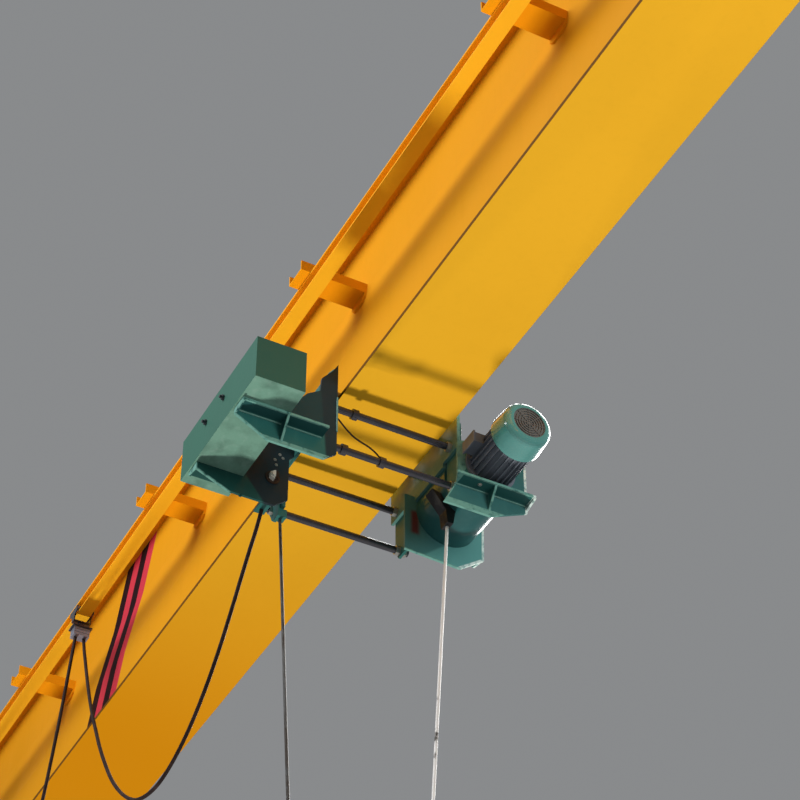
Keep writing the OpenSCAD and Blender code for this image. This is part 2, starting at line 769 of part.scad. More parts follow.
// A large nut with its washer on the far counterweight arm
module arm_pin() {
    color(bright_steel) on_trolley() translate([drum_x0, -pin_y, -pin_z]) {
        translate([pin_washer_t / 2, 0, 0]) bar_x(pin_washer_d, pin_washer_t);
        translate([pin_washer_t, 0, 0]) rotate([0, 90, 0]) cylinder(d = nut_d, h = nut_t, $fn = 6);
        translate([pin_washer_t, 0, 0]) rotate([0, 90, 0]) cylinder(d = rod_d, h = nut_t + rod_end);
    }
}

// Ends of the straight ropes on the hook sheave
function rope_end(s) = [hook_x + s * sheave_r * cos(hook_twist), hook_y + s * sheave_r * sin(hook_twist),
    -sheave_z];

module rope_left() {
    color(dark_steel) on_trolley() taut_rope(rope_end(-1), rope_left_top);
}

module rope_right() {
    color(bright_steel) on_trolley() taut_rope(rope_end(1), rope_right_top);
}

module in_hook_block() {
    on_trolley() translate([hook_x, hook_y, -sheave_z]) rotate([0, 0, hook_twist]) children();
}

module rope_turn() {
    color(dark_steel) in_hook_block() rotate([-90, 0, 0]) rotate_extrude(angle = 180)
        translate([sheave_r, 0]) circle(d = rope_d, $fn = 24);
}

module hook_sheave() {
    r = sheave_r - rope_d / 2 - seat_gap;
    bore = sheave_bore / 2;
    color(dark_steel) in_hook_block() rotate([90, 0, 0]) rotate_extrude() polygon([
        [bore, -25], [60, -25], [60, -8], [r - 20, -8], [r + 10, -20], [r + 16, -20], [r, -6], [r, 6],
        [r + 16, 20], [r + 10, 20], [r - 20, 8], [60, 8], [60, 25], [bore, 25]]);
}

module hook_block() {
    color(crane_green) in_hook_block() {
        for (f = [-1, 1]) plate_xz(f * (sheave_w + cheek_t) / 2 - cheek_t / 2, cheek_t)
            polygon([[-block_mid_w, yoke_h], [-block_top_w, block_up], [block_top_w, block_up],
                [block_mid_w, yoke_h], [block_low_w, -block_low], [-block_low_w, -block_low]]);
        bar_y(sheave_bore - 2 * seat_gap, sheave_w + 4 * cheek_t);
        block([-block_top_w, block_top_w], [-sheave_w / 2, sheave_w / 2], [-block_low, -block_low + yoke_h]);
    }
}

// A shank and a bowl that stays open on one side
module hook() {
    color(dark_steel) in_hook_block() translate([0, 0, -block_low]) {
        translate([0, 0, -shank_l]) cylinder(d = shank_d, h = shank_l);
        translate([0, 0, -shank_l - hook_r]) rotate([90, 0, 0]) rotate([0, 0, -190])
            rotate_extrude(angle = 290) translate([hook_r, 0]) circle(d = hook_d);
    }
}

// Festoon

module cable_bracket() {
    x = exit_x - trolley_x;
    color(crane_green) on_trolley() block([x - 30, arm_far_x - arm_t / 2], [-rail_y - 24, -rail_y + 24],
        [exit_z, exit_z + 12]);
}

// Four wheels on the rail's lower flange, two cheeks, a yoke and the post down to the grip
module cable_carrier(x) {
    axle_z = rail_z + rail_t + seat_gap + carrier_wheel_d / 2;
    inner = carrier_cheek_y - carrier_cheek_t / 2;
    outer = inner + carrier_cheek_t;
    lobe = carrier_wheel_d / 2;
    color(dark_steel) from_underside() translate([x, -rail_y, 0]) {
        for (s = [-1, 1]) side(s) {
            for (dx = [-carrier_wheel_dx, carrier_wheel_dx]) translate([dx, 0, axle_z]) {
                translate([0, inner - 8 - carrier_wheel_w / 2, 0]) bar_y(carrier_wheel_d, carrier_wheel_w);
                translate([0, inner - 4, 0]) bar_y(carrier_pin_d, 10);
            }
            plate_xz(inner, carrier_cheek_t) polygon([
                [-carrier_wheel_dx - lobe, axle_z + lobe], [carrier_wheel_dx + lobe, axle_z + lobe],
                [carrier_wheel_dx + lobe, axle_z - lobe], [yoke_w / 2, axle_z - 2 * lobe],
                [yoke_w / 2, yoke_low], [-yoke_w / 2, yoke_low],
                [-yoke_w / 2, axle_z - 2 * lobe], [-carrier_wheel_dx - lobe, axle_z - lobe]]);
        }
        block([-yoke_w / 2, yoke_w / 2], [-outer, outer], [yoke_low, yoke_low + yoke_t]);
        grip_hanger(yoke_low + 1);
    }
}

module grip_on_carrier(x) {
    color(grip_grey) from_underside() translate([x, -rail_y, 0]) cable_grip();
}

// A tube of eight sides through points that lie close to an X-Z plane, its ends cut level
module cable_tube(points, d) {
    n = 8;
    last = len(points) - 1;
    rings = [for (i = [0 : last])
        let (t = i == 0 ? [0, 0, -1] : i == last ? [0, 0, 1] : unit(points[i + 1] - points[i - 1]),
            b = unit([0, 1, 0] - t[1] * t),
            c = cross(t, b))
        for (k = [0 : n - 1]) points[i] + d / 2 * (b * cos(k * 360 / n) + c * sin(k * 360 / n))];
    sides = [for (i = [0 : last - 1], k = [0 : n - 1])
        let (a = i * n + k, b = i * n + (k + 1) % n) [a, a + n, b + n, b]];
    polyhedron(rings, concat([[for (k = [0 : n - 1]) k]], [[for (k = [n - 1 : -1 : 0]) last * n + k]], sides));
}

// A festoon cable that starts at x, y and ends at y_end
module cable_loop(x, y, y_end, route) {
    span = route[len(route) - 1][0];
    color(rubber_black) from_underside() cable_tube([for (p = route)
        [x + p[0], y + (y_end - y) * p[0] / span, p[1] - seat_gap]], cable_d);
}

girder_web(-1);  // girder_web_left
girder_web(1);  // girder_web_right
girder_bottom_flange();
girder_top_flange();
girder_end_plate(1);  // girder_end_plate_near
girder_end_plate(-1);  // girder_end_plate_far
end_carriage(1);  // end_carriage_near
end_carriage(-1);  // end_carriage_far
carriage_wheels(1);  // carriage_wheels_near
carriage_wheels(-1);  // carriage_wheels_far
travel_drive(1);  // travel_drive_near
travel_drive(-1);  // travel_drive_far
carriage_buffers(1);  // carriage_buffers_near
carriage_buffers(-1);  // carriage_buffers_far
festoon_rail();
rail_arms();
trolley_stops();
cable_end_clamp();
side_plate(-1);  // side_plate_left
side_plate(1);  // side_plate_right
wheels(-1);  // wheels_left
wheels(1);  // wheels_right
hanger(1, -1);  // hanger_near_left
hanger(-1, -1);  // hanger_far_left
hanger(1, 1);  // hanger_near_right
hanger(-1, 1);  // hanger_far_right
hoist_arm(1, -1);  // arm_near_left
hoist_arm(-1, -1);  // arm_far_left
hoist_arm(1, 1);  // arm_near_right
hoist_arm(-1, 1);  // arm_far_right
tie_rods(1);  // tie_rods_near
tie_rods(-1);  // tie_rods_far
rod_nuts();
counterweight_box();
box_bolts();
drum_housing();
gearbox();
motor_body();
terminal_box();
motor_cowl();
fan_grille();
rope_guide();
rope_anchor();
arm_pin();
rope_left();
rope_right();
rope_turn();
hook_block();
hook_sheave();
hook();
cable_bracket();
cable_carrier(carrier_1_x);  // cable_carrier_1
grip_on_carrier(carrier_1_x);  // cable_grip_1
cable_carrier(carrier_2_x);  // cable_carrier_2
grip_on_carrier(carrier_2_x);  // cable_grip_2
cable_loop(exit_x, -rail_y, -rail_y + cable_pitch / 2, loop_1_route);  // cable_loop_1
cable_loop(carrier_1_x, -rail_y - cable_pitch / 2, -rail_y + cable_pitch / 2, loop_2_route);  // cable_loop_2
cable_loop(carrier_2_x, -rail_y - cable_pitch / 2, -rail_y + cable_pitch / 2, loop_3_route);  // cable_loop_3
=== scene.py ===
from math import cos, pi, sin

import bpy
from bpy.props import FloatProperty, FloatVectorProperty, IntProperty, PointerProperty
from mathutils import Matrix, Vector


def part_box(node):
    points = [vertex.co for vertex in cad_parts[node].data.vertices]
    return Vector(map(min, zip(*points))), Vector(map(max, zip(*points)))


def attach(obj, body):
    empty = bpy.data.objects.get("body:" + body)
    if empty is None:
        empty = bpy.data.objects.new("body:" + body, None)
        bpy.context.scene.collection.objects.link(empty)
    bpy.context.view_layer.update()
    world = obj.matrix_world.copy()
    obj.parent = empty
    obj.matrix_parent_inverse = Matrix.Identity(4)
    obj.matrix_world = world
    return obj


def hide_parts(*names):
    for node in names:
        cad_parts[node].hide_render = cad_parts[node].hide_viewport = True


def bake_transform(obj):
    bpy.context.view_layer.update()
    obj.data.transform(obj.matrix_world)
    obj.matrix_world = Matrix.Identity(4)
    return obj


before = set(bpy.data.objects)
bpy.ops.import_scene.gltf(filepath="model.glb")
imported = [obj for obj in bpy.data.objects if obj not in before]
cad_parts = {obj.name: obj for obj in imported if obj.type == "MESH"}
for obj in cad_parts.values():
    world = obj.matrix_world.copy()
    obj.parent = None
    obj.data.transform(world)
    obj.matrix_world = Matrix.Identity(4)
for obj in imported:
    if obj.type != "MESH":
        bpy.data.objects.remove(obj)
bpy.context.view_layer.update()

bl_info = {
    "name": "Overhead bridge crane",
    "version": (1, 0, 0),
    "blender": (4, 5, 0),
    "location": "View3D > Sidebar > Crane",
    "description": "Finishes, ropes, festoon cables and small fittings of an overhead bridge crane",
    "category": "Object",
}


# Places on the crane, read from the CAD pieces

def low(node):
    """The corner of the node's box with the lowest X, Y and Z."""
    return Vector(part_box(node)[0])


def high(node):
    """The corner of the node's box with the highest X, Y and Z."""
    return Vector(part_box(node)[1])


def middle(node):
    """The centre of the node's box."""
    return (low(node) + high(node)) / 2


UNDERSIDE = low("girder_bottom_flange").z
# Where the trolley's own zero stands along the girder
TROLLEY_X = 0.690


def on_trolley(x, y, z):
    """A place given in millimetres from the trolley's zero on the girder's underside."""
    return Vector((TROLLEY_X + x / 1000, y / 1000, UNDERSIDE + z / 1000))


# The festoon cables' routes: place along the girder from the cable's near end, and height
# above the girder's underside, in metres, as the CAD has them
LOOP_ROUTES = {
    "cable_loop_1": [
        (0, -0.345), (-0.05, -0.42), (-0.12, -0.5), (-0.2, -0.6), (-0.295, -0.72), (-0.405, -0.845),
        (-0.53, -0.96), (-0.67, -1.055), (-0.82, -1.12), (-0.975, -1.15), (-1.12, -1.135),
        (-1.26, -1.085), (-1.39, -1.0), (-1.515, -0.89), (-1.63, -0.765), (-1.735, -0.625),
        (-1.83, -0.485), (-1.915, -0.34), (-1.995, -0.2), (-2.07, -0.05), (-2.135, 0.095),
        (-2.195, 0.24), (-2.24, 0.35), (-2.265, 0.428)],
    "cable_loop_2": [
        (0, 0.428), (-0.025, 0.33), (-0.06, 0.19), (-0.1, 0.04), (-0.145, -0.11), (-0.195, -0.26),
        (-0.25, -0.405), (-0.32, -0.55), (-0.405, -0.69), (-0.505, -0.81), (-0.63, -0.9),
        (-0.77, -0.945), (-0.915, -0.945), (-1.055, -0.9), (-1.18, -0.81), (-1.28, -0.69),
        (-1.365, -0.55), (-1.435, -0.405), (-1.49, -0.26), (-1.54, -0.11), (-1.585, 0.04),
        (-1.625, 0.19), (-1.66, 0.33), (-1.685, 0.428)],
    "cable_loop_3": [
        (0, 0.428), (-0.015, 0.28), (-0.035, 0.13), (-0.055, -0.03), (-0.08, -0.19), (-0.105, -0.35),
        (-0.135, -0.51), (-0.175, -0.67), (-0.225, -0.82), (-0.295, -0.965), (-0.405, -1.085),
        (-0.565, -1.085), (-0.675, -0.965), (-0.745, -0.82), (-0.795, -0.67), (-0.835, -0.51),
        (-0.865, -0.35), (-0.89, -0.19), (-0.915, -0.03), (-0.935, 0.13), (-0.955, 0.28),
        (-0.97, 0.428)],
}
CARRIER_1_X = middle("cable_carrier_1").x
CARRIER_2_X = middle("cable_carrier_2").x
CLAMP_X = middle("cable_end_clamp").x
RAIL_Y = middle("festoon_rail").y
# Distance from the trolley's zero to the bracket's cable exit, and between two cables in a grip
EXIT_REACH = 0.250
CABLE_PITCH = 0.046
EXIT_X = TROLLEY_X - EXIT_REACH
LOOP_ENDS = {
    "cable_loop_1": ((EXIT_X, RAIL_Y), (CARRIER_1_X, RAIL_Y + CABLE_PITCH / 2)),
    "cable_loop_2": ((CARRIER_1_X, RAIL_Y - CABLE_PITCH / 2), (CARRIER_2_X, RAIL_Y + CABLE_PITCH / 2)),
    "cable_loop_3": ((CARRIER_2_X, RAIL_Y - CABLE_PITCH / 2), (CLAMP_X, RAIL_Y + CABLE_PITCH / 2)),
}

# The CAD pieces that share a finish
GIRDER_NODES = ["girder_web_right", "girder_top_flange", "girder_end_plate_near", "girder_end_plate_far",
                "end_carriage_near", "end_carriage_far", "rail_arms", "trolley_stops"]
GREEN_NODES = ["side_plate_left", "hanger_near_left", "hanger_far_left", "hanger_near_right",
               "hanger_far_right", "gearbox", "rope_anchor", "cable_bracket", "hook_block",
               "travel_drive_near", "travel_drive_far"]
DARK_STEEL_NODES = ["carriage_wheels_near", "carriage_wheels_far", "wheels_left", "wheels_right",
                    "tie_rods_near", "tie_rods_far", "box_bolts", "hook_sheave", "hook",
                    "cable_carrier_1", "cable_carrier_2", "cable_end_clamp"]


class CraneColours(bpy.types.PropertyGroup):
    girder: FloatVectorProperty(name="Girder", description="Paint of the girder and its carriages",
                                subtype="COLOR", size=3, default=(0.84, 0.34, 0.006))
    # The web's paint is a darker copy of the girder's: painted shade
    web: FloatVectorProperty(name="Web", description="Paint of the web with the stripes",
                             subtype="COLOR", size=3, default=(0.75, 0.32, 0.010))
    flange: FloatVectorProperty(name="Flange", description="Paint of the girder's bottom flange",
                                subtype="COLOR", size=3, default=(0.82, 0.415, 0.020))
    rail: FloatVectorProperty(name="Rail", description="Paint of the festoon rail",
                              subtype="COLOR", size=3, default=(0.95, 0.48, 0.02))
    green: FloatVectorProperty(name="Green", description="Paint of the trolley and hoist",
                               subtype="COLOR", size=3, default=(0.028, 0.140, 0.125))
    drum: FloatVectorProperty(name="Drum", description="Glossier paint of the drum's housing",
                              subtype="COLOR", size=3, default=(0.020, 0.105, 0.105))
    side_plate: FloatVectorProperty(name="Side plate", description="Paint of the hoist's side plate",
                                    subtype="COLOR", size=3, default=(0.100, 0.230, 0.200))
    box_green: FloatVectorProperty(name="Faded green", description="Paint of the counterweight box",
                                   subtype="COLOR", size=3, default=(0.170, 0.330, 0.250))
    cowl: FloatVectorProperty(name="Cowl", description="Glossier paint of the fan cowl",
                              subtype="COLOR", size=3, default=(0.085, 0.310, 0.280))
    motor: FloatVectorProperty(name="Motor", description="Paint of the motor's body",
                               subtype="COLOR", size=3, default=(0.165, 0.180, 0.215))
    steel: FloatVectorProperty(name="Dark steel", description="Oily steel of rods and wheels",
                               subtype="COLOR", size=3, default=(0.022, 0.020, 0.030))
    rope: FloatVectorProperty(name="Rope", description="Wire of the hoist rope",
                              subtype="COLOR", size=3, default=(0.30, 0.29, 0.28))
    cable: FloatVectorProperty(name="Cable", description="Sheath of the festoon cable",
                               subtype="COLOR", size=3, default=(0.020, 0.011, 0.010))
    zinc: FloatVectorProperty(name="Zinc", description="Plating of nuts and bolts",
                              subtype="COLOR", size=3, default=(0.46, 0.44, 0.40))
    grip: FloatVectorProperty(name="Grip", description="Plastic of the cable grips",
                              subtype="COLOR", size=3, default=(0.20, 0.20, 0.25))
    stripe_black: FloatVectorProperty(name="Black stripe", description="Darker stripes on the web",
                                      subtype="COLOR", size=3, default=(0.018, 0.007, 0.010))
    stripe_red: FloatVectorProperty(name="Red stripe", description="Red stripes on the web",
                                    subtype="COLOR", size=3, default=(0.60, 0.042, 0.068))


class CraneSizes(bpy.types.PropertyGroup):
    cable_d: FloatProperty(name="Cable diameter", description="Diameter of the festoon cable",
                           unit="LENGTH", default=0.018)
    strands: IntProperty(name="Strands", description="Strands in the hoist rope", default=6)
    rope_lay: FloatProperty(name="Rope lay", description="Length of one turn of a strand",
                            unit="LENGTH", default=0.085)
    rope_d: FloatProperty(name="Rope diameter", description="Diameter of the hoist rope",
                          unit="LENGTH", default=0.014)


# Shader nodes

def link(tree, a, b):
    tree.links.new(a, b)


def object_place(tree):
    """The object's own coordinates."""
    return tree.nodes.new("ShaderNodeTexCoord").outputs["Object"]


def object_axes(tree):
    """X, Y and Z of the object's own coordinates."""
    split = tree.nodes.new("ShaderNodeSeparateXYZ")
    link(tree, object_place(tree), split.inputs[0])
    return split.outputs["X"], split.outputs["Y"], split.outputs["Z"]


def noise(tree, vector, scale, detail=4.0, roughness=0.55):
    node = tree.nodes.new("ShaderNodeTexNoise")
    node.inputs["Scale"].default_value = scale
    node.inputs["Detail"].default_value = detail
    node.inputs["Roughness"].default_value = roughness
    link(tree, vector, node.inputs["Vector"])
    return node.outputs["Fac"]


def compute(tree, operation, a, b=None, c=None):
    """One arithmetic step on sockets or plain numbers."""
    node = tree.nodes.new("ShaderNodeMath")
    node.operation = operation
    for socket, value in zip(node.inputs, (a, b, c)):
        if value is None:
            continue
        if isinstance(value, (int, float)):
            socket.default_value = value
        else:
            link(tree, value, socket)
    return node.outputs[0]


def ramp(tree, value, start, end):
    """0 at start, 1 at end, smooth between."""
    node = tree.nodes.new("ShaderNodeMapRange")
    node.interpolation_type = "SMOOTHSTEP"
    node.inputs["From Min"].default_value = start
    node.inputs["From Max"].default_value = end
    link(tree, value, node.inputs["Value"])
    return node.outputs["Result"]


def mix(tree, factor, a, b):
    """Colour a where the factor is 0, colour b where it is 1."""
    node = tree.nodes.new("ShaderNodeMix")
    node.data_type = "RGBA"
    for socket, value in ((node.inputs[0], factor), (node.inputs[6], a), (node.inputs[7], b)):
        if isinstance(value, (int, float)):
            socket.default_value = value
        elif isinstance(value, (tuple, list)):
            socket.default_value = (*value[:3], 1.0)
        else:
            link(tree, value, socket)
    return node.outputs[2]


def within(tree, value, start, end):
    """1 where the value lies between start and end."""
    return compute(tree, "MULTIPLY", compute(tree, "GREATER_THAN", value, start),
                   compute(tree, "LESS_THAN", value, end))


# Node groups

def make_group(name, inputs, outputs):
    """An empty node group with its sockets, and its input and output nodes."""
    group = bpy.data.node_groups.new(name, "ShaderNodeTree")
    for label, kind, value in inputs:
        socket = group.interface.new_socket(label, in_out="INPUT", socket_type=kind)
        socket.default_value = value
    for label, kind in outputs:
        group.interface.new_socket(label, in_out="OUTPUT", socket_type=kind)
    return group, group.nodes.new("NodeGroupInput"), group.nodes.new("NodeGroupOutput")


def group_node(tree, group, **values):
    """A group placed in a material, with a value for each input: blotch_size is Blotch size."""
    node = tree.nodes.new("ShaderNodeGroup")
    node.node_tree = group
    for label, value in values.items():
        socket = node.inputs[label.replace("_", " ").capitalize()]
        socket.default_value = (*value, 1.0) if isinstance(value, (tuple, list)) else value
    return node


# Runs are long and narrow along Z. Runs and specks each add their share to the dust, and
# blotches and dust make the paint rougher.
RUN_STRETCH = (1.0, 1.0, 0.12)
RUN_DUST = 0.5
SPECK_DUST = 0.4
BLOTCH_ROUGHNESS = 0.16
DUST_ROUGHNESS = 0.3


def weathered_paint_group():
    """Brushed paint with blotches, runs and dust: colour, roughness and height."""
    group, source, sink = make_group(
        "Weathered paint",
        [("Paint", "NodeSocketColor", (0.5, 0.5, 0.5, 1)), ("Shade", "NodeSocketColor", (0.2, 0.2, 0.2, 1)),
         ("Dust", "NodeSocketColor", (0.6, 0.6, 0.6, 1)), ("Blotch size", "NodeSocketFloat", 3.0),
         ("Blotches", "NodeSocketFloat", 0.4), ("Dust amount", "NodeSocketFloat", 0.3),
         ("Gloss", "NodeSocketFloat", 0.35)],
        [("Color", "NodeSocketColor"), ("Roughness", "NodeSocketFloat"), ("Height", "NodeSocketFloat")])
    place = object_place(group)
    blotch_place = group.nodes.new("ShaderNodeVectorMath")
    blotch_place.operation = "SCALE"
    link(group, place, blotch_place.inputs[0])
    link(group, source.outputs["Blotch size"], blotch_place.inputs["Scale"])
    cloud = noise(group, blotch_place.outputs[0], scale=1.0, detail=5.0, roughness=0.6)
    blotch = ramp(group, cloud, start=0.38, end=0.68)
    run_place = group.nodes.new("ShaderNodeMapping")
    run_place.inputs["Scale"].default_value = RUN_STRETCH
    link(group, place, run_place.inputs["Vector"])
    streak = noise(group, run_place.outputs[0], scale=26.0, detail=3.0, roughness=0.5)
    run = ramp(group, streak, start=0.50, end=0.72)
    grain = noise(group, place, scale=90.0, detail=6.0, roughness=0.7)
    speck = ramp(group, grain, start=0.56, end=0.72)
    shade = compute(group, "MULTIPLY", blotch, source.outputs["Blotches"])
    base = mix(group, shade, source.outputs["Paint"], source.outputs["Shade"])
    dust = compute(group, "ADD", compute(group, "MULTIPLY", run, RUN_DUST),
                   compute(group, "MULTIPLY", speck, SPECK_DUST))
    dust = compute(group, "MULTIPLY", dust, source.outputs["Dust amount"])
    link(group, mix(group, dust, base, source.outputs["Dust"]), sink.inputs["Color"])
    rough = compute(group, "ADD", source.outputs["Gloss"],
                    compute(group, "MULTIPLY", blotch, BLOTCH_ROUGHNESS))
    rough = compute(group, "ADD", rough, compute(group, "MULTIPLY", dust, DUST_ROUGHNESS))
    link(group, rough, sink.inputs["Roughness"])
    link(group, noise(group, place, scale=240.0, detail=2.0, roughness=0.5), sink.inputs["Height"])


def edge_band_group():
    """1 within a band along a straight edge, for a painted edge highlight, broken up by noise."""
    group, source, sink = make_group(
        "Edge band",
        [("Outward", "NodeSocketVector", (1, 0, 0)), ("Place", "NodeSocketFloat", 0.0),
         ("Width", "NodeSocketFloat", 0.005)],
        [("Mask", "NodeSocketFloat")])
    place = object_place(group)
    dot = group.nodes.new("ShaderNodeVectorMath")
    dot.operation = "DOT_PRODUCT"
    link(group, place, dot.inputs[0])
    link(group, source.outputs["Outward"], dot.inputs[1])
    depth = compute(group, "SUBTRACT", source.outputs["Place"], dot.outputs["Value"])
    ratio = compute(group, "DIVIDE", depth, source.outputs["Width"])
    breakup = ramp(group, noise(group, place, scale=35.0, detail=3.0), start=0.25, end=0.55)
    band = ramp(group, ratio, start=1.1, end=0.8)
    link(group, compute(group, "MULTIPLY", band, breakup), sink.inputs["Mask"])


def square_to(p, q, outward):
    """The direction square to the line p-q, on the side that outward points to."""
    along = (q - p).normalized()
    return (outward - outward.dot(along) * along).normalized()


def past(tree, p, q, outward, fade):
    """1 on the outward side of the line p-q."""
    normal = square_to(p, q, outward)
    depth = 0.0
    for axis, part in zip(object_axes(tree), normal):
        depth = compute(tree, "MULTIPLY_ADD", axis, part, depth)
    return ramp(tree, depth, normal.dot(p), normal.dot(p) + fade)


def edge_mask(tree, p, q, outward, width):
    """Mask of a band along the edge p-q; outward is the side that it lies on."""
    normal = square_to(p, q, outward)
    node = group_node(tree, bpy.data.node_groups["Edge band"], width=width, place=normal.dot(p))
    node.inputs["Outward"].default_value = normal
    return node.outputs["Mask"]


# Materials

def new_material(name):
    material = bpy.data.materials.new(name)
    material.use_nodes = True
    tree = material.node_tree
    shader = next(n for n in tree.nodes if n.type == "BSDF_PRINCIPLED")
    return material, tree, shader


def add_bump(tree, shader, height, strength, distance=0.001):
    bump = tree.nodes.new("ShaderNodeBump")
    bump.inputs["Strength"].default_value = strength
    bump.inputs["Distance"].default_value = distance
    link(tree, height, bump.inputs["Height"])
    link(tree, bump.outputs["Normal"], shader.inputs["Normal"])


def scaled(colour, factor):
    """A lighter or darker colour."""
    return tuple(min(1.0, c * factor) for c in colour)


def painted_material(name, colour, gloss=0.35, blotch_size=3.0, blotches=0.4, dust_amount=0.25,
                     dust=(0.45, 0.42, 0.36), shade_factor=0.72, coat=0.15, bump=0.15, metallic=0.0,
                     specular=0.5):
    """A painted metal, returned with its tree, shader and paint node so that marks can be added."""
    material, tree, shader = new_material(name)
    paint = group_node(tree, bpy.data.node_groups["Weathered paint"], paint=tuple(colour),
                       shade=scaled(colour, shade_factor), dust=dust, blotch_size=blotch_size,
                       blotches=blotches, dust_amount=dust_amount, gloss=gloss)
    link(tree, paint.outputs["Color"], shader.inputs["Base Color"])
    link(tree, paint.outputs["Roughness"], shader.inputs["Roughness"])
    shader.inputs["Coat Weight"].default_value = coat
    shader.inputs["Metallic"].default_value = metallic
    shader.inputs["Specular IOR Level"].default_value = specular
    add_bump(tree, shader, paint.outputs["Height"], bump)
    return material, tree, shader, paint


def cover(names, material):
    """Give the CAD pieces the material."""
    for name in names:
        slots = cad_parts[name].data.materials
        slots.clear()
        slots.append(material)


def paint_nodes(name, nodes, colour, **look):
    """Cover the CAD pieces with a paint that has no marks of their own."""
    material, *_ = painted_material(name, colour, **look)
    cover(nodes, material)


# Modelling

# Points closer than this are one
MERGE_DISTANCE = 0.00001


def deselect():
    if bpy.context.object and bpy.context.object.mode != "OBJECT":
        bpy.ops.object.mode_set(mode="OBJECT")
    bpy.ops.object.select_all(action="DESELECT")


def select_only(piece):
    deselect()
    piece.select_set(True)
    bpy.context.view_layer.objects.active = piece


def settle(piece):
    """Put the piece's place into its mesh."""
    select_only(piece)
    bpy.ops.object.transform_apply(location=True, rotation=True, scale=True)


def apply_modifiers(piece):
    select_only(piece)
    for modifier in list(piece.modifiers):
        bpy.ops.object.modifier_apply(modifier=modifier.name)


def extrude(distance):
    """Extrude what is selected in edit mode along Z."""
    bpy.ops.mesh.extrude_region_move(TRANSFORM_OT_translate={"value": (0, 0, distance)})


def close_ends(piece):
    """Fill the open ends of a swept shape."""
    select_only(piece)
    bpy.ops.object.mode_set(mode="EDIT")
    bpy.ops.mesh.select_all(action="SELECT")
    bpy.ops.mesh.remove_doubles(threshold=MERGE_DISTANCE)
    bpy.ops.mesh.select_all(action="DESELECT")
    bpy.ops.mesh.select_non_manifold()
    bpy.ops.mesh.edge_face_add()
    bpy.ops.mesh.select_all(action="SELECT")
    bpy.ops.mesh.normals_make_consistent(inside=False)
    bpy.ops.object.mode_set(mode="OBJECT")


def standing(place, way):
    """The matrix that takes a shape made along +Z from the origin to the place, pointing the way."""
    turn = Vector((0, 0, 1)).rotation_difference(Vector(way)).to_matrix().to_4x4()
    return Matrix.Translation(place) @ turn


def smooth_route(points, steps=6):
    """A dense line through the points (Catmull-Rom)."""
    line = []
    last = len(points) - 1
    for i in range(last):
        a, b, c, d = (points[max(i - 1, 0)], points[i], points[i + 1], points[min(i + 2, last)])
        for k in range(steps):
            t = k / steps
            line.append(0.5 * (2 * b + (c - a) * t + (2 * a - 5 * b + 4 * c - d) * t * t
                               + (3 * b - a - 3 * c + d) * t ** 3))
    line.append(points[-1])
    return line


def tube(name, line, diameter, sides=12):
    """A closed tube along the line."""
    curve = bpy.data.curves.new(name, "CURVE")
    curve.dimensions = "3D"
    curve.bevel_depth = diameter / 2
    curve.bevel_resolution = sides // 4 - 1
    curve.use_fill_caps = True
    spline = curve.splines.new("POLY")
    spline.points.add(len(line) - 1)
    for point, place in zip(spline.points, line):
        point.co = (*place, 1.0)
    piece = bpy.data.objects.new(name, curve)
    bpy.context.scene.collection.objects.link(piece)
    select_only(piece)
    bpy.ops.object.convert(target="MESH")
    piece = bpy.context.object
    bpy.ops.object.shade_smooth()
    return piece


# Paint of the girder

# The first stripe's -X edge at the height of the girder's top face, the stripes' width along X,
# and their lean towards -X for each metre down
STRIPE_X = -1.87
STRIPE_WIDTH = 0.099
STRIPE_LEAN = 0.41
# Painted shade on the bottom flange's side faces, and a painted highlight on the rail's outer side
FLANGE_SIDE_SHADE = (0.16, 0.065, 0.008)
RAIL_SIDE_HIGHLIGHT = (0.95, 0.42, 0.02)
# Painted shade: the bottom flange is darker and browner towards -X; that colour, and where it turns into
# the rest
FLANGE_SHADED_END = (0.66, 0.25, 0.003)
FLANGE_FADE = (-2.2, 0.6)
BUFFER_BLACK = (0.02, 0.02, 0.02, 1)
# A mark on one face of a piece reaches this far below it
FACE_DEPTH = 0.0005


def rim_mask(tree, half_y):
    """1 on a piece's faces that lie half_y from the girder's middle plane."""
    y = object_axes(tree)[1]
    return compute(tree, "GREATER_THAN", compute(tree, "ABSOLUTE", y), half_y - FACE_DEPTH)


def girder_look(colour):
    return {"colour": colour, "gloss": 0.5, "blotch_size": 1.1, "blotches": 0.3, "dust_amount": 0.10,
            "dust": scaled(colour, 0.7), "shade_factor": 0.86, "coat": 0.0, "specular": 0.03}


def paint_rail(colours):
    rail, tree, shader, paint = painted_material("rail paint", **girder_look(colours.rail))
    # Painted highlight on the rail's outer side
    rim = rim_mask(tree, -low("festoon_rail").y)
    link(tree, mix(tree, rim, paint.outputs["Color"], RAIL_SIDE_HIGHLIGHT), shader.inputs["Base Color"])
    cover(["festoon_rail"], rail)


def paint_striped_web(colours):
    # The web's darker paint is painted shade
    web, tree, shader, paint = painted_material("web paint with stripes", **girder_look(colours.web))
    x, _, z = object_axes(tree)
    along = compute(tree, "MULTIPLY_ADD", z, -STRIPE_LEAN, x)
    colour = paint.outputs["Color"]
    for k, stripe in enumerate((colours.stripe_black, colours.stripe_red) * 2):
        start = STRIPE_X + k * STRIPE_WIDTH
        colour = mix(tree, within(tree, along, start, start + STRIPE_WIDTH), colour, tuple(stripe))
    link(tree, colour, shader.inputs["Base Color"])
    cover(["girder_web_left"], web)


def paint_bottom_flange(colours):
    flange, tree, shader, paint = painted_material("flange paint", **girder_look(colours.flange))
    # Painted shade: darker and browner towards -X
    unshaded = ramp(tree, object_axes(tree)[0], *FLANGE_FADE)
    colour = mix(tree, unshaded, FLANGE_SHADED_END, paint.outputs["Color"])
    # Painted shade on the flange's side faces
    rim = rim_mask(tree, high("girder_bottom_flange").y)
    link(tree, mix(tree, rim, colour, FLANGE_SIDE_SHADE), shader.inputs["Base Color"])
    cover(["girder_bottom_flange"], flange)


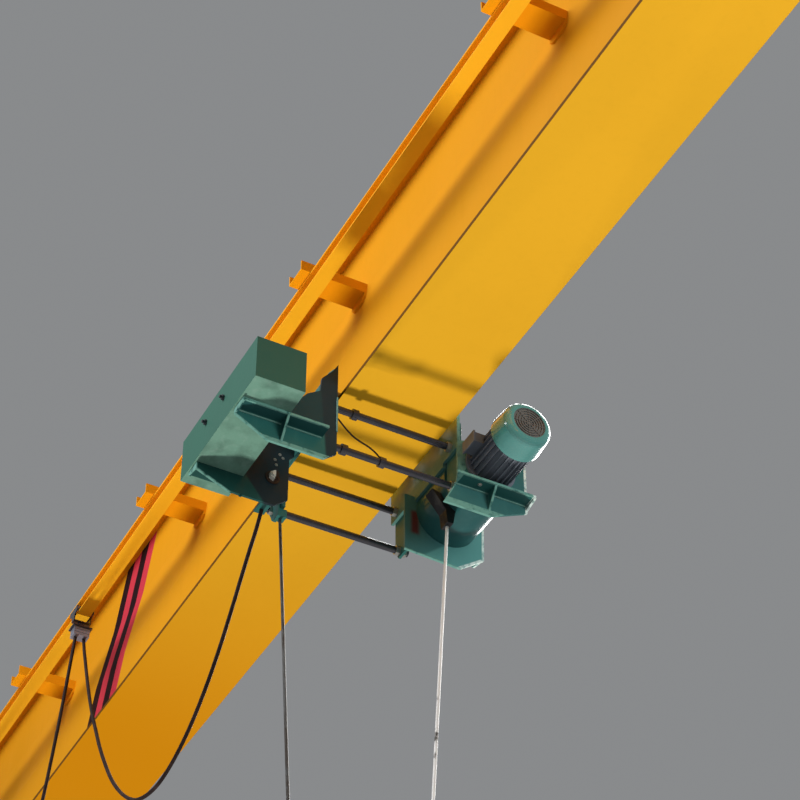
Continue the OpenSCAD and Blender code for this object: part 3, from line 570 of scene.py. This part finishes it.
def cover_buffers():
    rubber, tree, shader = new_material("buffer rubber")
    shader.inputs["Base Color"].default_value = BUFFER_BLACK
    shader.inputs["Roughness"].default_value = 0.75
    add_bump(tree, shader, noise(tree, object_place(tree), scale=60.0), strength=0.3, distance=0.002)
    cover(["carriage_buffers_near", "carriage_buffers_far"], rubber)


class CRANE_OT_paint_girder(bpy.types.Operator):
    """Paint the girder, its rail and the end carriages"""
    bl_idname = "crane.paint_girder"
    bl_label = "Paint the girder"

    def execute(self, context):
        colours = context.scene.crane_colours
        weathered_paint_group()
        edge_band_group()
        paint_nodes("girder paint", GIRDER_NODES, **girder_look(colours.girder))
        paint_rail(colours)
        paint_striped_web(colours)
        paint_bottom_flange(colours)
        cover_buffers()
        return {"FINISHED"}


# Paint of the trolley

# Painted highlights along edges of the arms, the green ones broken up like worn paint: two points on each
# in the trolley's millimetres, the side that the edge lies on, and the colour of the highlight
EDGE_HIGHLIGHT_GREEN = (0.16, 0.36, 0.30)
EDGE_HIGHLIGHT_WHITE = (0.72, 0.84, 0.78)
EDGE_WIDTHS = {EDGE_HIGHLIGHT_GREEN: 0.005, EDGE_HIGHLIGHT_WHITE: 0.012}
ARM_EDGE_HIGHLIGHTS = {
    "arm_near_left": [
        ((323, -357, -309), (323, -750, -309), (1, 0, 0), EDGE_HIGHLIGHT_GREEN),
        ((251, -750, -309), (323, -750, -309), (0, -1, 0), EDGE_HIGHLIGHT_GREEN),
        ((251, -344, -415), (251, -600, -415), (0, 0, -1), EDGE_HIGHLIGHT_GREEN),
        ((321, -535, -309), (251, -535, -403), (1, 0, -1), EDGE_HIGHLIGHT_GREEN),
        ((251, -600, -415), (251, -750, -331), (0, -1, -1), EDGE_HIGHLIGHT_GREEN)],
    "arm_near_right": [
        ((323, 245, -309), (323, 628, -309), (1, 0, 0), EDGE_HIGHLIGHT_GREEN),
        ((251, 628, -309), (323, 628, -309), (0, 1, 0), EDGE_HIGHLIGHT_GREEN),
        ((251, 280, -297), (251, 218, -425), (0, -1, 0), EDGE_HIGHLIGHT_GREEN),
        ((251, 218, -425), (251, 445, -425), (0, 0, -1), EDGE_HIGHLIGHT_GREEN),
        ((321, 430, -309), (251, 430, -403), (1, 0, -1), EDGE_HIGHLIGHT_GREEN),
        ((251, 626, -290), (251, 626, -90), (0, 1, 0), EDGE_HIGHLIGHT_WHITE)],
    "arm_far_left": [
        ((-139, -600, -398), (-139, -750, -331), (0, -1, -1), EDGE_HIGHLIGHT_GREEN),
        ((-139, -750, -331), (-139, -750, -297), (0, -1, 0), EDGE_HIGHLIGHT_GREEN)],
    "arm_far_right": [
        ((-139, 631, -331), (-139, 636, -131), (0, 1, 0), EDGE_HIGHLIGHT_WHITE),
        ((-139, 512, -415), (-139, 631, -331), (0, 1, -1), EDGE_HIGHLIGHT_WHITE),
        ((-139, 238, -400), (-139, 512, -415), (0, 0, -1), EDGE_HIGHLIGHT_GREEN)],
}
# Lit and shaded copies of the trolley's green: painted light on the near-right and far-right arms, painted
# shade on the far-left arm
ARM_LIT_AND_SHADED_PAINT = {
    "arm_near_right": (0.045, 0.155, 0.148),
    "arm_far_left": (0.013, 0.072, 0.062),
    "arm_far_right": (0.060, 0.185, 0.185),
}
# Painted shade on parts of the arms, and one painted lit patch on the far-right arm, each past a line: two
# points on the line, the side, the colour
ARM_PAINTED_SHADE_AND_LIGHT = {
    "arm_near_left": [
        ((253, -345, -300), (253, -750, -300), (1, 0, 0), (0.014, 0.075, 0.072)),
        ((251, -345, -290), (251, -750, -290), (0, 0, 1), (0.012, 0.050, 0.056)),
        ((251, -372, -60), (251, -352, -300), (0, 1, 0), (0.011, 0.032, 0.042))],
    "arm_near_right": [
        ((253, 218, -300), (253, 634, -300), (1, 0, 0), (0.022, 0.110, 0.100))],
    "arm_far_left": [
        ((-139, -520, -300), (-139, -430, -420), (0, 1, 1), (0.014, 0.026, 0.032))],
    "arm_far_right": [
        ((-139, 376, -356), (-139, 643, -131), (0, 1, -1), (0.110, 0.320, 0.300))],
}
TONE_FADE = 0.015
# A reddish streak down one arm: from and to along Y and Z in the trolley's millimetres, and how wide it
# fades at its edges
STREAKED_ARM = "arm_far_right"
RED_STREAK = ((256, 320), (-315, -165))
STREAK_FADE = 0.025
STREAK_RED = (0.10, 0.027, 0.028)
# The pin's grease and its bare metal, which is past this X and on the -Y side of this Y, in the
# trolley's millimetres
PIN_GREASE = (0.045, 0.022, 0.014)
PIN_METAL = (0.85, 0.80, 0.70)
PIN_BARE = (-132, -400)
# Painted shade: darker copies of the counterweight box's paint on its near end and outer side
BOX_END_SHADE = (0.040, 0.115, 0.080)
BOX_SIDE_SHADE = (0.042, 0.140, 0.100)
GUIDE_BLACK = (0.010, 0.010, 0.012)
GRILLE_GREY = (0.15, 0.145, 0.135)


def green_look(colours, **changes):
    """The trolley's paint, with what a piece has different."""
    return {"colour": colours.green, "gloss": 0.4, "blotch_size": 6.0, "blotches": 0.4,
            "dust_amount": 0.2, "dust": (0.08, 0.22, 0.19), "coat": 0.08, "specular": 0.2} | changes


def red_streak(tree):
    """1 in the middle of the reddish streak, fading to its edges."""
    _, y, z = object_axes(tree)
    (y0, y1), (z0, z1) = RED_STREAK
    start, end = on_trolley(0, y0, z0), on_trolley(0, y1, z1)
    run = 1.0
    for axis, near, far in ((y, start.y, end.y), (z, start.z, end.z)):
        for edge, inner in ((near, near + STREAK_FADE), (far, far - STREAK_FADE)):
            run = compute(tree, "MULTIPLY", ramp(tree, axis, edge, inner), run)
    return run


def paint_arm(node, colours):
    """An arm's paint, its painted shade and lit patch, its painted edge highlights and its reddish streak.
    """
    # Some arms take a lit copy of the green as painted light, the far-left arm a shaded copy as painted
    # shade
    look = green_look(colours, colour=ARM_LIT_AND_SHADED_PAINT.get(node, colours.green))
    arm, tree, shader, paint = painted_material(node + " green", **look)
    colour = paint.outputs["Color"]
    # Painted shade on the arms' shaded parts, and a painted lit patch on the far-right arm
    for p, q, outward, tone in ARM_PAINTED_SHADE_AND_LIGHT[node]:
        painted_patch = past(tree, on_trolley(*p), on_trolley(*q), Vector(outward), TONE_FADE)
        colour = mix(tree, painted_patch, colour, tone)
    # Painted highlights along the edges
    for p, q, outward, tone in ARM_EDGE_HIGHLIGHTS[node]:
        edge_highlight = edge_mask(tree, on_trolley(*p), on_trolley(*q), Vector(outward), EDGE_WIDTHS[tone])
        colour = mix(tree, edge_highlight, colour, tone)
    if node == STREAKED_ARM:
        colour = mix(tree, red_streak(tree), colour, STREAK_RED)
    link(tree, colour, shader.inputs["Base Color"])
    cover([node], arm)


def paint_box(colours):
    """The counterweight box: faded paint, with painted shade on its near end and outer side."""
    box_green, tree, shader, paint = painted_material(
        "faded green", colours.box_green, gloss=0.45, blotch_size=7.0, blotches=0.8, dust_amount=0.3,
        dust=(0.36, 0.50, 0.42), shade_factor=0.55, coat=0.0, specular=0.15)
    x, y, _ = object_axes(tree)
    side = compute(tree, "LESS_THAN", y, low("counterweight_box").y + FACE_DEPTH)
    end = compute(tree, "GREATER_THAN", x, high("counterweight_box").x - FACE_DEPTH)
    # Painted shade on the outer side and the near end
    colour = mix(tree, side, paint.outputs["Color"], BOX_SIDE_SHADE)
    link(tree, mix(tree, end, colour, BOX_END_SHADE), shader.inputs["Base Color"])
    cover(["counterweight_box"], box_green)


def paint_pin():
    """The arm's greasy pin, bare on one side of its end."""
    pin, tree, shader, paint = painted_material("greasy pin", PIN_GREASE, gloss=0.5, blotch_size=20.0,
                                                dust_amount=0.1, specular=0.25)
    x, y, _ = object_axes(tree)
    edge = on_trolley(*PIN_BARE, 0)
    bare = compute(tree, "MULTIPLY", compute(tree, "GREATER_THAN", x, edge.x),
                   compute(tree, "LESS_THAN", y, edge.y))
    link(tree, mix(tree, bare, paint.outputs["Color"], PIN_METAL), shader.inputs["Base Color"])
    cover(["arm_pin"], pin)


class CRANE_OT_paint_trolley(bpy.types.Operator):
    """Paint the trolley, the hoist and the steel pieces"""
    bl_idname = "crane.paint_trolley"
    bl_label = "Paint the trolley"

    def execute(self, context):
        colours = context.scene.crane_colours
        paint_nodes("trolley green", GREEN_NODES, **green_look(colours))
        paint_nodes("drum green", ["drum_housing"],
                    **green_look(colours, colour=colours.drum, gloss=0.34, coat=0.5))
        paint_nodes("side plate green", ["side_plate_right"],
                    **green_look(colours, colour=colours.side_plate))
        paint_nodes("glossy green", ["motor_cowl"],
                    **green_look(colours, colour=colours.cowl, gloss=0.10, coat=1.0, specular=0.5))
        for node in ARM_EDGE_HIGHLIGHTS:
            paint_arm(node, colours)
        paint_box(colours)
        paint_nodes("zinc plating", ["rod_nuts"], colours.zinc, gloss=0.28, blotch_size=20.0,
                    blotches=0.5, dust_amount=0.3, dust=(0.20, 0.16, 0.12), shade_factor=0.5,
                    coat=0.0, metallic=0.7)
        paint_pin()
        paint_nodes("grip plastic", ["cable_grip_1", "cable_grip_2"], colours.grip, gloss=0.4,
                    blotch_size=20.0, blotches=0.3, dust_amount=0.4, dust=(0.40, 0.38, 0.42))
        paint_nodes("motor grey green", ["motor_body", "terminal_box"], colours.motor, gloss=0.42,
                    blotch_size=9.0, dust_amount=0.30, dust=(0.09, 0.10, 0.11), specular=0.2)
        paint_nodes("greasy guide", ["rope_guide"], GUIDE_BLACK, gloss=0.5, blotch_size=20.0,
                    dust_amount=0.1, specular=0.25)
        paint_nodes("grille", ["fan_grille"], GRILLE_GREY, gloss=0.5, blotch_size=30.0,
                    blotches=0.3, dust_amount=0.4, dust=(0.20, 0.19, 0.17), specular=0.2)
        paint_nodes("oily steel", DARK_STEEL_NODES, colours.steel, gloss=0.22, blotch_size=14.0,
                    blotches=0.6, dust_amount=0.2, dust=(0.08, 0.07, 0.07), shade_factor=0.45,
                    coat=0.5)
        return {"FINISHED"}


# Festoon cables

def cable_line(name):
    """A loop's dense line, from its near end to its far end."""
    (x, y), (x_end, y_end) = LOOP_ENDS[name]
    route = LOOP_ROUTES[name]
    span = route[-1][0]
    points = [Vector((x + dx, y + (y_end - y) * dx / span, UNDERSIDE + z)) for dx, z in route]
    return smooth_route(points)


def cable_sheath(colour):
    """Black rubber with dusty patches."""
    material, tree, shader = new_material("cable sheath")
    place = object_place(tree)
    dusty = ramp(tree, noise(tree, place, scale=14.0), start=0.42, end=0.7)
    link(tree, mix(tree, dusty, tuple(colour), scaled(colour, 2.0)), shader.inputs["Base Color"])
    shader.inputs["Specular IOR Level"].default_value = 0.15
    shader.inputs["Roughness"].default_value = 0.55
    add_bump(tree, shader, noise(tree, place, scale=300.0), strength=0.2)
    return material


class CRANE_OT_festoon_cables(bpy.types.Operator):
    """Hang the festoon cables between the trolley, the carriers and the end clamp"""
    bl_idname = "crane.festoon_cables"
    bl_label = "Festoon cables"

    def execute(self, context):
        sizes = context.scene.crane_sizes
        material = cable_sheath(context.scene.crane_colours.cable)
        for name in LOOP_ROUTES:
            line = cable_line(name)
            piece = tube(name + "_sheath", line, sizes.cable_d)
            piece.data.materials.append(material)
            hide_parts(name)
            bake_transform(piece)
        return {"FINISHED"}


# Hoist ropes

# How light each rope is against the panel's colour, painted light on the right rope and painted shade on
# the left, and how much of it is greasy
ROPE_LIGHT_SHADE_AND_GREASE = {"rope_left": (0.3, 0.62), "rope_right": (3.0, 0.35)}
GREASE = (0.045, 0.032, 0.024)
# The points of a rope's end lie this close to its lowest or highest point
ROPE_END_DEPTH = 0.004
STRAND_SIDES = 8
# Strands are this much thicker than circles that only touch
STRAND_SWELL = 1.12
TURN_STEPS = 12


def rope_ends(node):
    """Middles of a straight rope's lower and upper end, from the CAD node's own points."""
    points = [Vector(v.co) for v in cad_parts[node].data.vertices]
    ends = []
    for level in (min(p.z for p in points), max(p.z for p in points)):
        ring = [p for p in points if abs(p.z - level) < ROPE_END_DEPTH]
        ends.append(sum(ring, Vector()) / len(ring))
    return ends


def rope_wire(name, colour, greasy_share):
    """Wire rope with greasy stretches."""
    material, tree, shader = new_material(name)
    place = object_place(tree)
    patches = noise(tree, place, scale=9.0, detail=5.0, roughness=0.7)
    greasy = ramp(tree, patches, start=0.74 - greasy_share / 2, end=0.84 - greasy_share / 2)
    link(tree, mix(tree, greasy, colour, GREASE), shader.inputs["Base Color"])
    shader.inputs["Metallic"].default_value = 0.3
    shader.inputs["Roughness"].default_value = 0.35
    add_bump(tree, shader, noise(tree, place, scale=700.0), strength=0.4)
    return material


def twisted_strands(name, start, end, sizes):
    """The strands of a straight rope: a ring of circles screwed along it."""
    length = (end - start).length
    strand_r = sizes.rope_d / 2 / (1 + 1 / sin(pi / sizes.strands))
    ring_r = sizes.rope_d / 2 - strand_r
    circles = []
    for k in range(sizes.strands):
        angle = 2 * pi * k / sizes.strands
        deselect()
        bpy.ops.mesh.primitive_circle_add(vertices=STRAND_SIDES, radius=strand_r * STRAND_SWELL,
                                          location=(ring_r * cos(angle), ring_r * sin(angle), 0))
        circles.append(bpy.context.object)
    piece = circles[0]
    select_only(piece)
    for circle in circles:
        circle.select_set(True)
    bpy.ops.object.join()
    piece.name = name
    settle(piece)
    screw = piece.modifiers.new("twist", "SCREW")
    turns = int(length / sizes.rope_lay) + 1
    screw.axis = "Z"
    screw.angle = 2 * pi * length / sizes.rope_lay / turns
    screw.screw_offset = length / turns
    screw.steps = screw.render_steps = TURN_STEPS
    screw.iterations = turns
    screw.use_merge_vertices = False
    apply_modifiers(piece)
    piece.data.transform(standing(start, end - start))
    close_ends(piece)
    bpy.ops.object.shade_smooth()
    return piece


class CRANE_OT_hoist_ropes(bpy.types.Operator):
    """Twist the strands of the hoist ropes"""
    bl_idname = "crane.hoist_ropes"
    bl_label = "Hoist ropes"

    def execute(self, context):
        colours, sizes = context.scene.crane_colours, context.scene.crane_sizes
        # The right rope's wire is painted lighter as painted light, the left rope's darker as painted
        # shade, with grease on both
        for node, (lightness, greasy_share) in ROPE_LIGHT_SHADE_AND_GREASE.items():
            material = rope_wire(node + " wire", scaled(colours.rope, lightness), greasy_share)
            piece = twisted_strands(node + "_strands", *rope_ends(node), sizes)
            piece.data.materials.append(material)
            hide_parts(node)
            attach(piece, "trolley")
        cover(["rope_turn"], bpy.data.materials["rope_left wire"])
        return {"FINISHED"}


# Bolts and welds

# Heads of bolts, in the trolley's millimetres: place, the way the head points, and its half width
HANGER_BOLTS = [(x, z) for x in (-331, -301, -243, 158, 190, 222) for z in (6, 32)]
TROLLEY_BOLTS = (
    [((x, s * 314, z), (0, s, 0), 10) for s in (-1, 1) for x, z in HANGER_BOLTS]
    + [((290, 371, -309), (0, 0, -1), 7)]
    + [((-139, y, z), (1, 0, 0), 5) for y, z in ((-370, -113), (-392, -149), (-385, -176), (-355, -128))]
    + [((-261, y, z), (-1, 0, 0), 9) for y in (374, 478, 582) for z in (-281, -61)]
    + [((-261, y, -171), (-1, 0, 0), 9) for y in (374, 582)])
# Bolts of the girder's end plates: height above the girder's underside and place along Y in
# metres, and the head's half width in millimetres
END_BOLT_HEIGHTS = (0.415, 0.495, 0.575, 0.655)
END_BOLT_Y = 0.215
END_BOLT_SIZE = 18
# A head on its washer for a half width of 1: the washer's radius and thickness, the head's foot
# and height, and how far its crown is set in and raised
WASHER_R = 1.45
WASHER_THICK = 0.22
HEAD_FOOT = 0.20
HEAD_HEIGHT = 0.62
CROWN_INSET = 0.16
CROWN_RISE = 0.10
# Seams of the arms, in the trolley's millimetres
ARM_SEAMS = {
    "weld_near_left_arm": ((253, -360, -311), (253, -748, -311)),
    "weld_near_right_arm": ((253, 268, -311), (253, 626, -311)),
    "weld_near_left_upright": ((253, -290, -60), (253, -290, -250)),
}
# The girder's seams: how far they lie inside the web's face, above the underside and short of
# the web's end
SEAM_INSIDE = 0.001
SEAM_HEIGHT = 0.021
SEAM_SHORT = 0.01
# Radius of a bead and length of one of its ripples
ARM_BEAD = (0.0045, 0.007)
GIRDER_BEAD = (0.007, 0.016)
# A ripple's radius at its foot against the bead's, and its growth to the crest and back
RIPPLE_FOOT = 0.8
RIPPLE_GROWTH = (1.25, 0.8)


def hex_head(name):
    """A hexagon bolt head on its washer, standing on Z = 0, with a half width of 1."""
    deselect()
    bpy.ops.mesh.primitive_circle_add(vertices=16, radius=WASHER_R, fill_type="NGON")
    washer = bpy.context.object
    bpy.ops.object.mode_set(mode="EDIT")
    extrude(WASHER_THICK)
    deselect()
    bpy.ops.mesh.primitive_circle_add(vertices=6, radius=1.0, fill_type="NGON",
                                      location=(0, 0, HEAD_FOOT))
    head = bpy.context.object
    bpy.ops.object.mode_set(mode="EDIT")
    extrude(HEAD_HEIGHT)
    bpy.ops.mesh.inset(thickness=CROWN_INSET)
    bpy.ops.transform.translate(value=(0, 0, CROWN_RISE))
    bpy.ops.object.mode_set(mode="OBJECT")
    washer.select_set(True)
    bpy.ops.object.join()
    head.name = name
    settle(head)
    bpy.ops.object.mode_set(mode="EDIT")
    bpy.ops.mesh.select_all(action="SELECT")
    bpy.ops.mesh.normals_make_consistent(inside=False)
    bpy.ops.object.mode_set(mode="OBJECT")
    return head


def set_bolts(name, places, material, body):
    """One piece made of a copy of a bolt head at each place."""
    pattern = hex_head(name + "_pattern")
    deselect()
    for place, way, half_width in places:
        copy = bpy.data.objects.new(name, pattern.data.copy())
        bpy.context.scene.collection.objects.link(copy)
        copy.data.transform(standing(place, way) @ Matrix.Scale(half_width / 1000, 4))
        copy.select_set(True)
        bpy.context.view_layer.objects.active = copy
    bpy.ops.object.join()
    piece = bpy.context.object
    piece.name = name
    piece.data.materials.append(material)
    bpy.data.objects.remove(pattern)
    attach(piece, body)


def weld_bead(name, start, end, radius, ripple):
    """A rippled bead from start to end: one ripple repeated along the seam."""
    length = (end - start).length
    count = round(length / ripple)
    step = length / count
    deselect()
    bpy.ops.mesh.primitive_circle_add(vertices=8, radius=radius * RIPPLE_FOOT)
    piece = bpy.context.object
    piece.name = name
    bpy.ops.object.mode_set(mode="EDIT")
    for growth in RIPPLE_GROWTH:
        extrude(step / 2)
        bpy.ops.transform.resize(value=(growth, growth, 1))
    bpy.ops.object.mode_set(mode="OBJECT")
    ripples = piece.modifiers.new("ripples", "ARRAY")
    ripples.count = count
    ripples.use_relative_offset = False
    ripples.use_constant_offset = True
    ripples.constant_offset_displace = (0, 0, step)
    ripples.use_merge_vertices = True
    ripples.merge_threshold = step / 20
    apply_modifiers(piece)
    close_ends(piece)
    piece.data.transform(standing(start, end - start))
    bpy.ops.object.shade_smooth()
    return piece


def lay_arm_welds():
    # The beads take a darker copy of the highlight green, painted lighter than the arms so that they show
    # as light lines: partly painted highlight
    green, *_ = painted_material("weld green", scaled(EDGE_HIGHLIGHT_GREEN, 0.8), blotch_size=30.0)
    for name, (start, end) in ARM_SEAMS.items():
        bead = weld_bead(name, on_trolley(*start), on_trolley(*end), *ARM_BEAD)
        bead.data.materials.append(green)
        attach(bead, "trolley")


def lay_girder_welds():
    corner = high("girder_web_right")
    x, y, z = corner.x - SEAM_SHORT, corner.y - SEAM_INSIDE, UNDERSIDE + SEAM_HEIGHT
    for side, label in ((-1, "left"), (1, "right")):
        bead = weld_bead("weld_girder_" + label, Vector((-x, side * y, z)), Vector((x, side * y, z)),
                         *GIRDER_BEAD)
        bead.data.materials.append(bpy.data.materials["girder paint"])
        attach(bead, "bridge")


class CRANE_OT_welds_and_bolts(bpy.types.Operator):
    """Lay the welds of the girder and the arms, and set the bolts"""
    bl_idname = "crane.welds_and_bolts"
    bl_label = "Welds and bolts"

    def execute(self, context):
        lay_arm_welds()
        lay_girder_welds()
        zinc = bpy.data.materials["zinc plating"]
        set_bolts("trolley_bolts", [(on_trolley(*place), way, size) for place, way, size in TROLLEY_BOLTS],
                  zinc, "trolley")
        face = low("girder_end_plate_near").x
        set_bolts("end_plate_bolts", [
            (Vector((e * face, s * END_BOLT_Y, UNDERSIDE + z)), (-e, 0, 0), END_BOLT_SIZE)
            for e in (-1, 1) for s in (-1, 1) for z in END_BOLT_HEIGHTS], zinc, "bridge")
        return {"FINISHED"}


# Link wire

# The thin wire from the near counterweight arm to the lower tie rod, in the trolley's millimetres
LINK_WIRE = [(238, -290, -150), (230, -258, -172), (222, -227, -192), (212, -190, -208),
             (204, -150, -216), (198, -112, -222), (194, -80, -236), (190, -56, -252)]
LINK_WIRE_D = 0.008


class CRANE_OT_link_wire(bpy.types.Operator):
    """Hang the thin wire between the near arm and the lower tie rod"""
    bl_idname = "crane.link_wire"
    bl_label = "Link wire"

    def execute(self, context):
        line = smooth_route([on_trolley(*p) for p in LINK_WIRE])
        piece = tube("link_wire", line, LINK_WIRE_D, sides=8)
        piece.data.materials.append(bpy.data.materials["cable sheath"])
        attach(piece, "trolley")
        return {"FINISHED"}


# Stage

# The photograph's camera: its place in the shared frame, its axes, its lens and sensor in
# millimetres, and how far it sees
CAMERA_PLACE = (7.523, -3.461, -7.570)
CAMERA_RIGHT = (0.4654, 0.8851, -0.0013)
CAMERA_UP = (0.5889, -0.3085, 0.7470)
CAMERA_BACK = (0.6608, -0.3484, -0.6648)
CAMERA_LENS = 104.27
CAMERA_SENSOR = 36
CAMERA_REACH = 200
FLOOR_Z = -9.2
FLOOR_SIZE = 60
FLOOR_COLOUR = (0.64, 0.63, 0.61, 1)
STUDIO_COLOUR = (0.78, 0.80, 0.82, 1)
STUDIO_STRENGTH = 0.32
# Light that comes up from the floor: the shift of a shadow towards +X on the flange for each
# unit of height below it, and the light's strength, angle and colour
SHADOW_SHIFT = 1.19
BOUNCE = (3.2, 0.12, (1.0, 0.98, 0.92))
# The area lights: place from the trolley's zero, size, power, colour, and whether glossy
# pieces mirror it
AREA_LIGHTS = {
    "skylight": ((-3.6, 6.1, 5.4), 8.5, 1400, (1.0, 1.0, 0.98), True),
    "sky": ((-0.19, -6.5, 4.0), 6.0, 640, (0.95, 0.98, 1.0), True),
    "front": ((7.0, 3.0, -1.0), 4.0, 260, (0.97, 1.0, 1.0), False),
}


def add_lamp(name, kind, direction, strength, colour):
    """A light that shines in the given direction."""
    data = bpy.data.lights.new(name, kind)
    data.energy = strength
    data.color = colour
    lamp = bpy.data.objects.new(name, data)
    bpy.context.scene.collection.objects.link(lamp)
    lamp.rotation_euler = direction.to_track_quat("-Z", "Y").to_euler()
    return lamp


def light_crane():
    strength, angle, colour = BOUNCE
    bounce = add_lamp("bounce from below", "SUN", Vector((SHADOW_SHIFT, 0, 1)), strength, colour)
    bounce.data.angle = angle
    bounce.visible_glossy = False
    for name, (place, size, power, colour, mirrored) in AREA_LIGHTS.items():
        lamp = add_lamp(name, "AREA", -Vector(place), power, colour)
        lamp.data.shape = "DISK"
        lamp.data.size = size
        lamp.location = on_trolley(0, 0, 0) + Vector(place)
        lamp.visible_camera = False
        lamp.visible_glossy = mirrored


def lay_floor():
    deselect()
    bpy.ops.mesh.primitive_plane_add(size=FLOOR_SIZE, location=(0, 0, FLOOR_Z))
    floor = bpy.context.object
    floor.name = "studio_floor"
    material, _, shader = new_material("pale floor")
    shader.inputs["Base Color"].default_value = FLOOR_COLOUR
    shader.inputs["Roughness"].default_value = 0.8
    floor.data.materials.append(material)
    floor.visible_shadow = floor.visible_diffuse = False


def set_camera(scene):
    data = bpy.data.cameras.new("photo camera")
    data.lens = CAMERA_LENS
    data.sensor_width = CAMERA_SENSOR
    data.clip_end = CAMERA_REACH
    camera = bpy.data.objects.new("photo camera", data)
    scene.collection.objects.link(camera)
    axes = Matrix((CAMERA_RIGHT, CAMERA_UP, CAMERA_BACK)).transposed()
    camera.matrix_world = Matrix.Translation(CAMERA_PLACE) @ axes.to_4x4()
    scene.camera = camera


class CRANE_OT_stage(bpy.types.Operator):
    """Add the floor, the lights and the camera"""
    bl_idname = "crane.stage"
    bl_label = "Stage"

    def execute(self, context):
        scene = context.scene
        scene.view_settings.view_transform = "Standard"
        world = bpy.data.worlds.new("studio")
        world.use_nodes = True
        background = world.node_tree.nodes["Background"]
        background.inputs["Color"].default_value = STUDIO_COLOUR
        background.inputs["Strength"].default_value = STUDIO_STRENGTH
        scene.world = world
        lay_floor()
        light_crane()
        set_camera(scene)
        return {"FINISHED"}


# The panel and the run

class CRANE_PT_panel(bpy.types.Panel):
    bl_label = "Overhead bridge crane"
    bl_idname = "CRANE_PT_panel"
    bl_space_type = "VIEW_3D"
    bl_region_type = "UI"
    bl_category = "Crane"

    def draw(self, context):
        for group in (context.scene.crane_colours, context.scene.crane_sizes):
            for name in group.__annotations__:
                self.layout.prop(group, name)
        for operator in OPERATORS:
            self.layout.operator(operator.bl_idname)


OPERATORS = (CRANE_OT_paint_girder, CRANE_OT_paint_trolley, CRANE_OT_festoon_cables,
             CRANE_OT_hoist_ropes, CRANE_OT_welds_and_bolts, CRANE_OT_link_wire, CRANE_OT_stage)
CLASSES = (CraneColours, CraneSizes, *OPERATORS, CRANE_PT_panel)


def register():
    for cls in CLASSES:
        bpy.utils.register_class(cls)
    bpy.types.Scene.crane_colours = PointerProperty(type=CraneColours)
    bpy.types.Scene.crane_sizes = PointerProperty(type=CraneSizes)


def unregister():
    del bpy.types.Scene.crane_sizes
    del bpy.types.Scene.crane_colours
    for cls in reversed(CLASSES):
        bpy.utils.unregister_class(cls)


def main():
    register()
    bpy.ops.crane.paint_girder()
    bpy.ops.crane.paint_trolley()
    bpy.ops.crane.festoon_cables()
    bpy.ops.crane.hoist_ropes()
    bpy.ops.crane.welds_and_bolts()
    bpy.ops.crane.link_wire()
    bpy.ops.crane.stage()


if __name__ == "__main__":
    main()
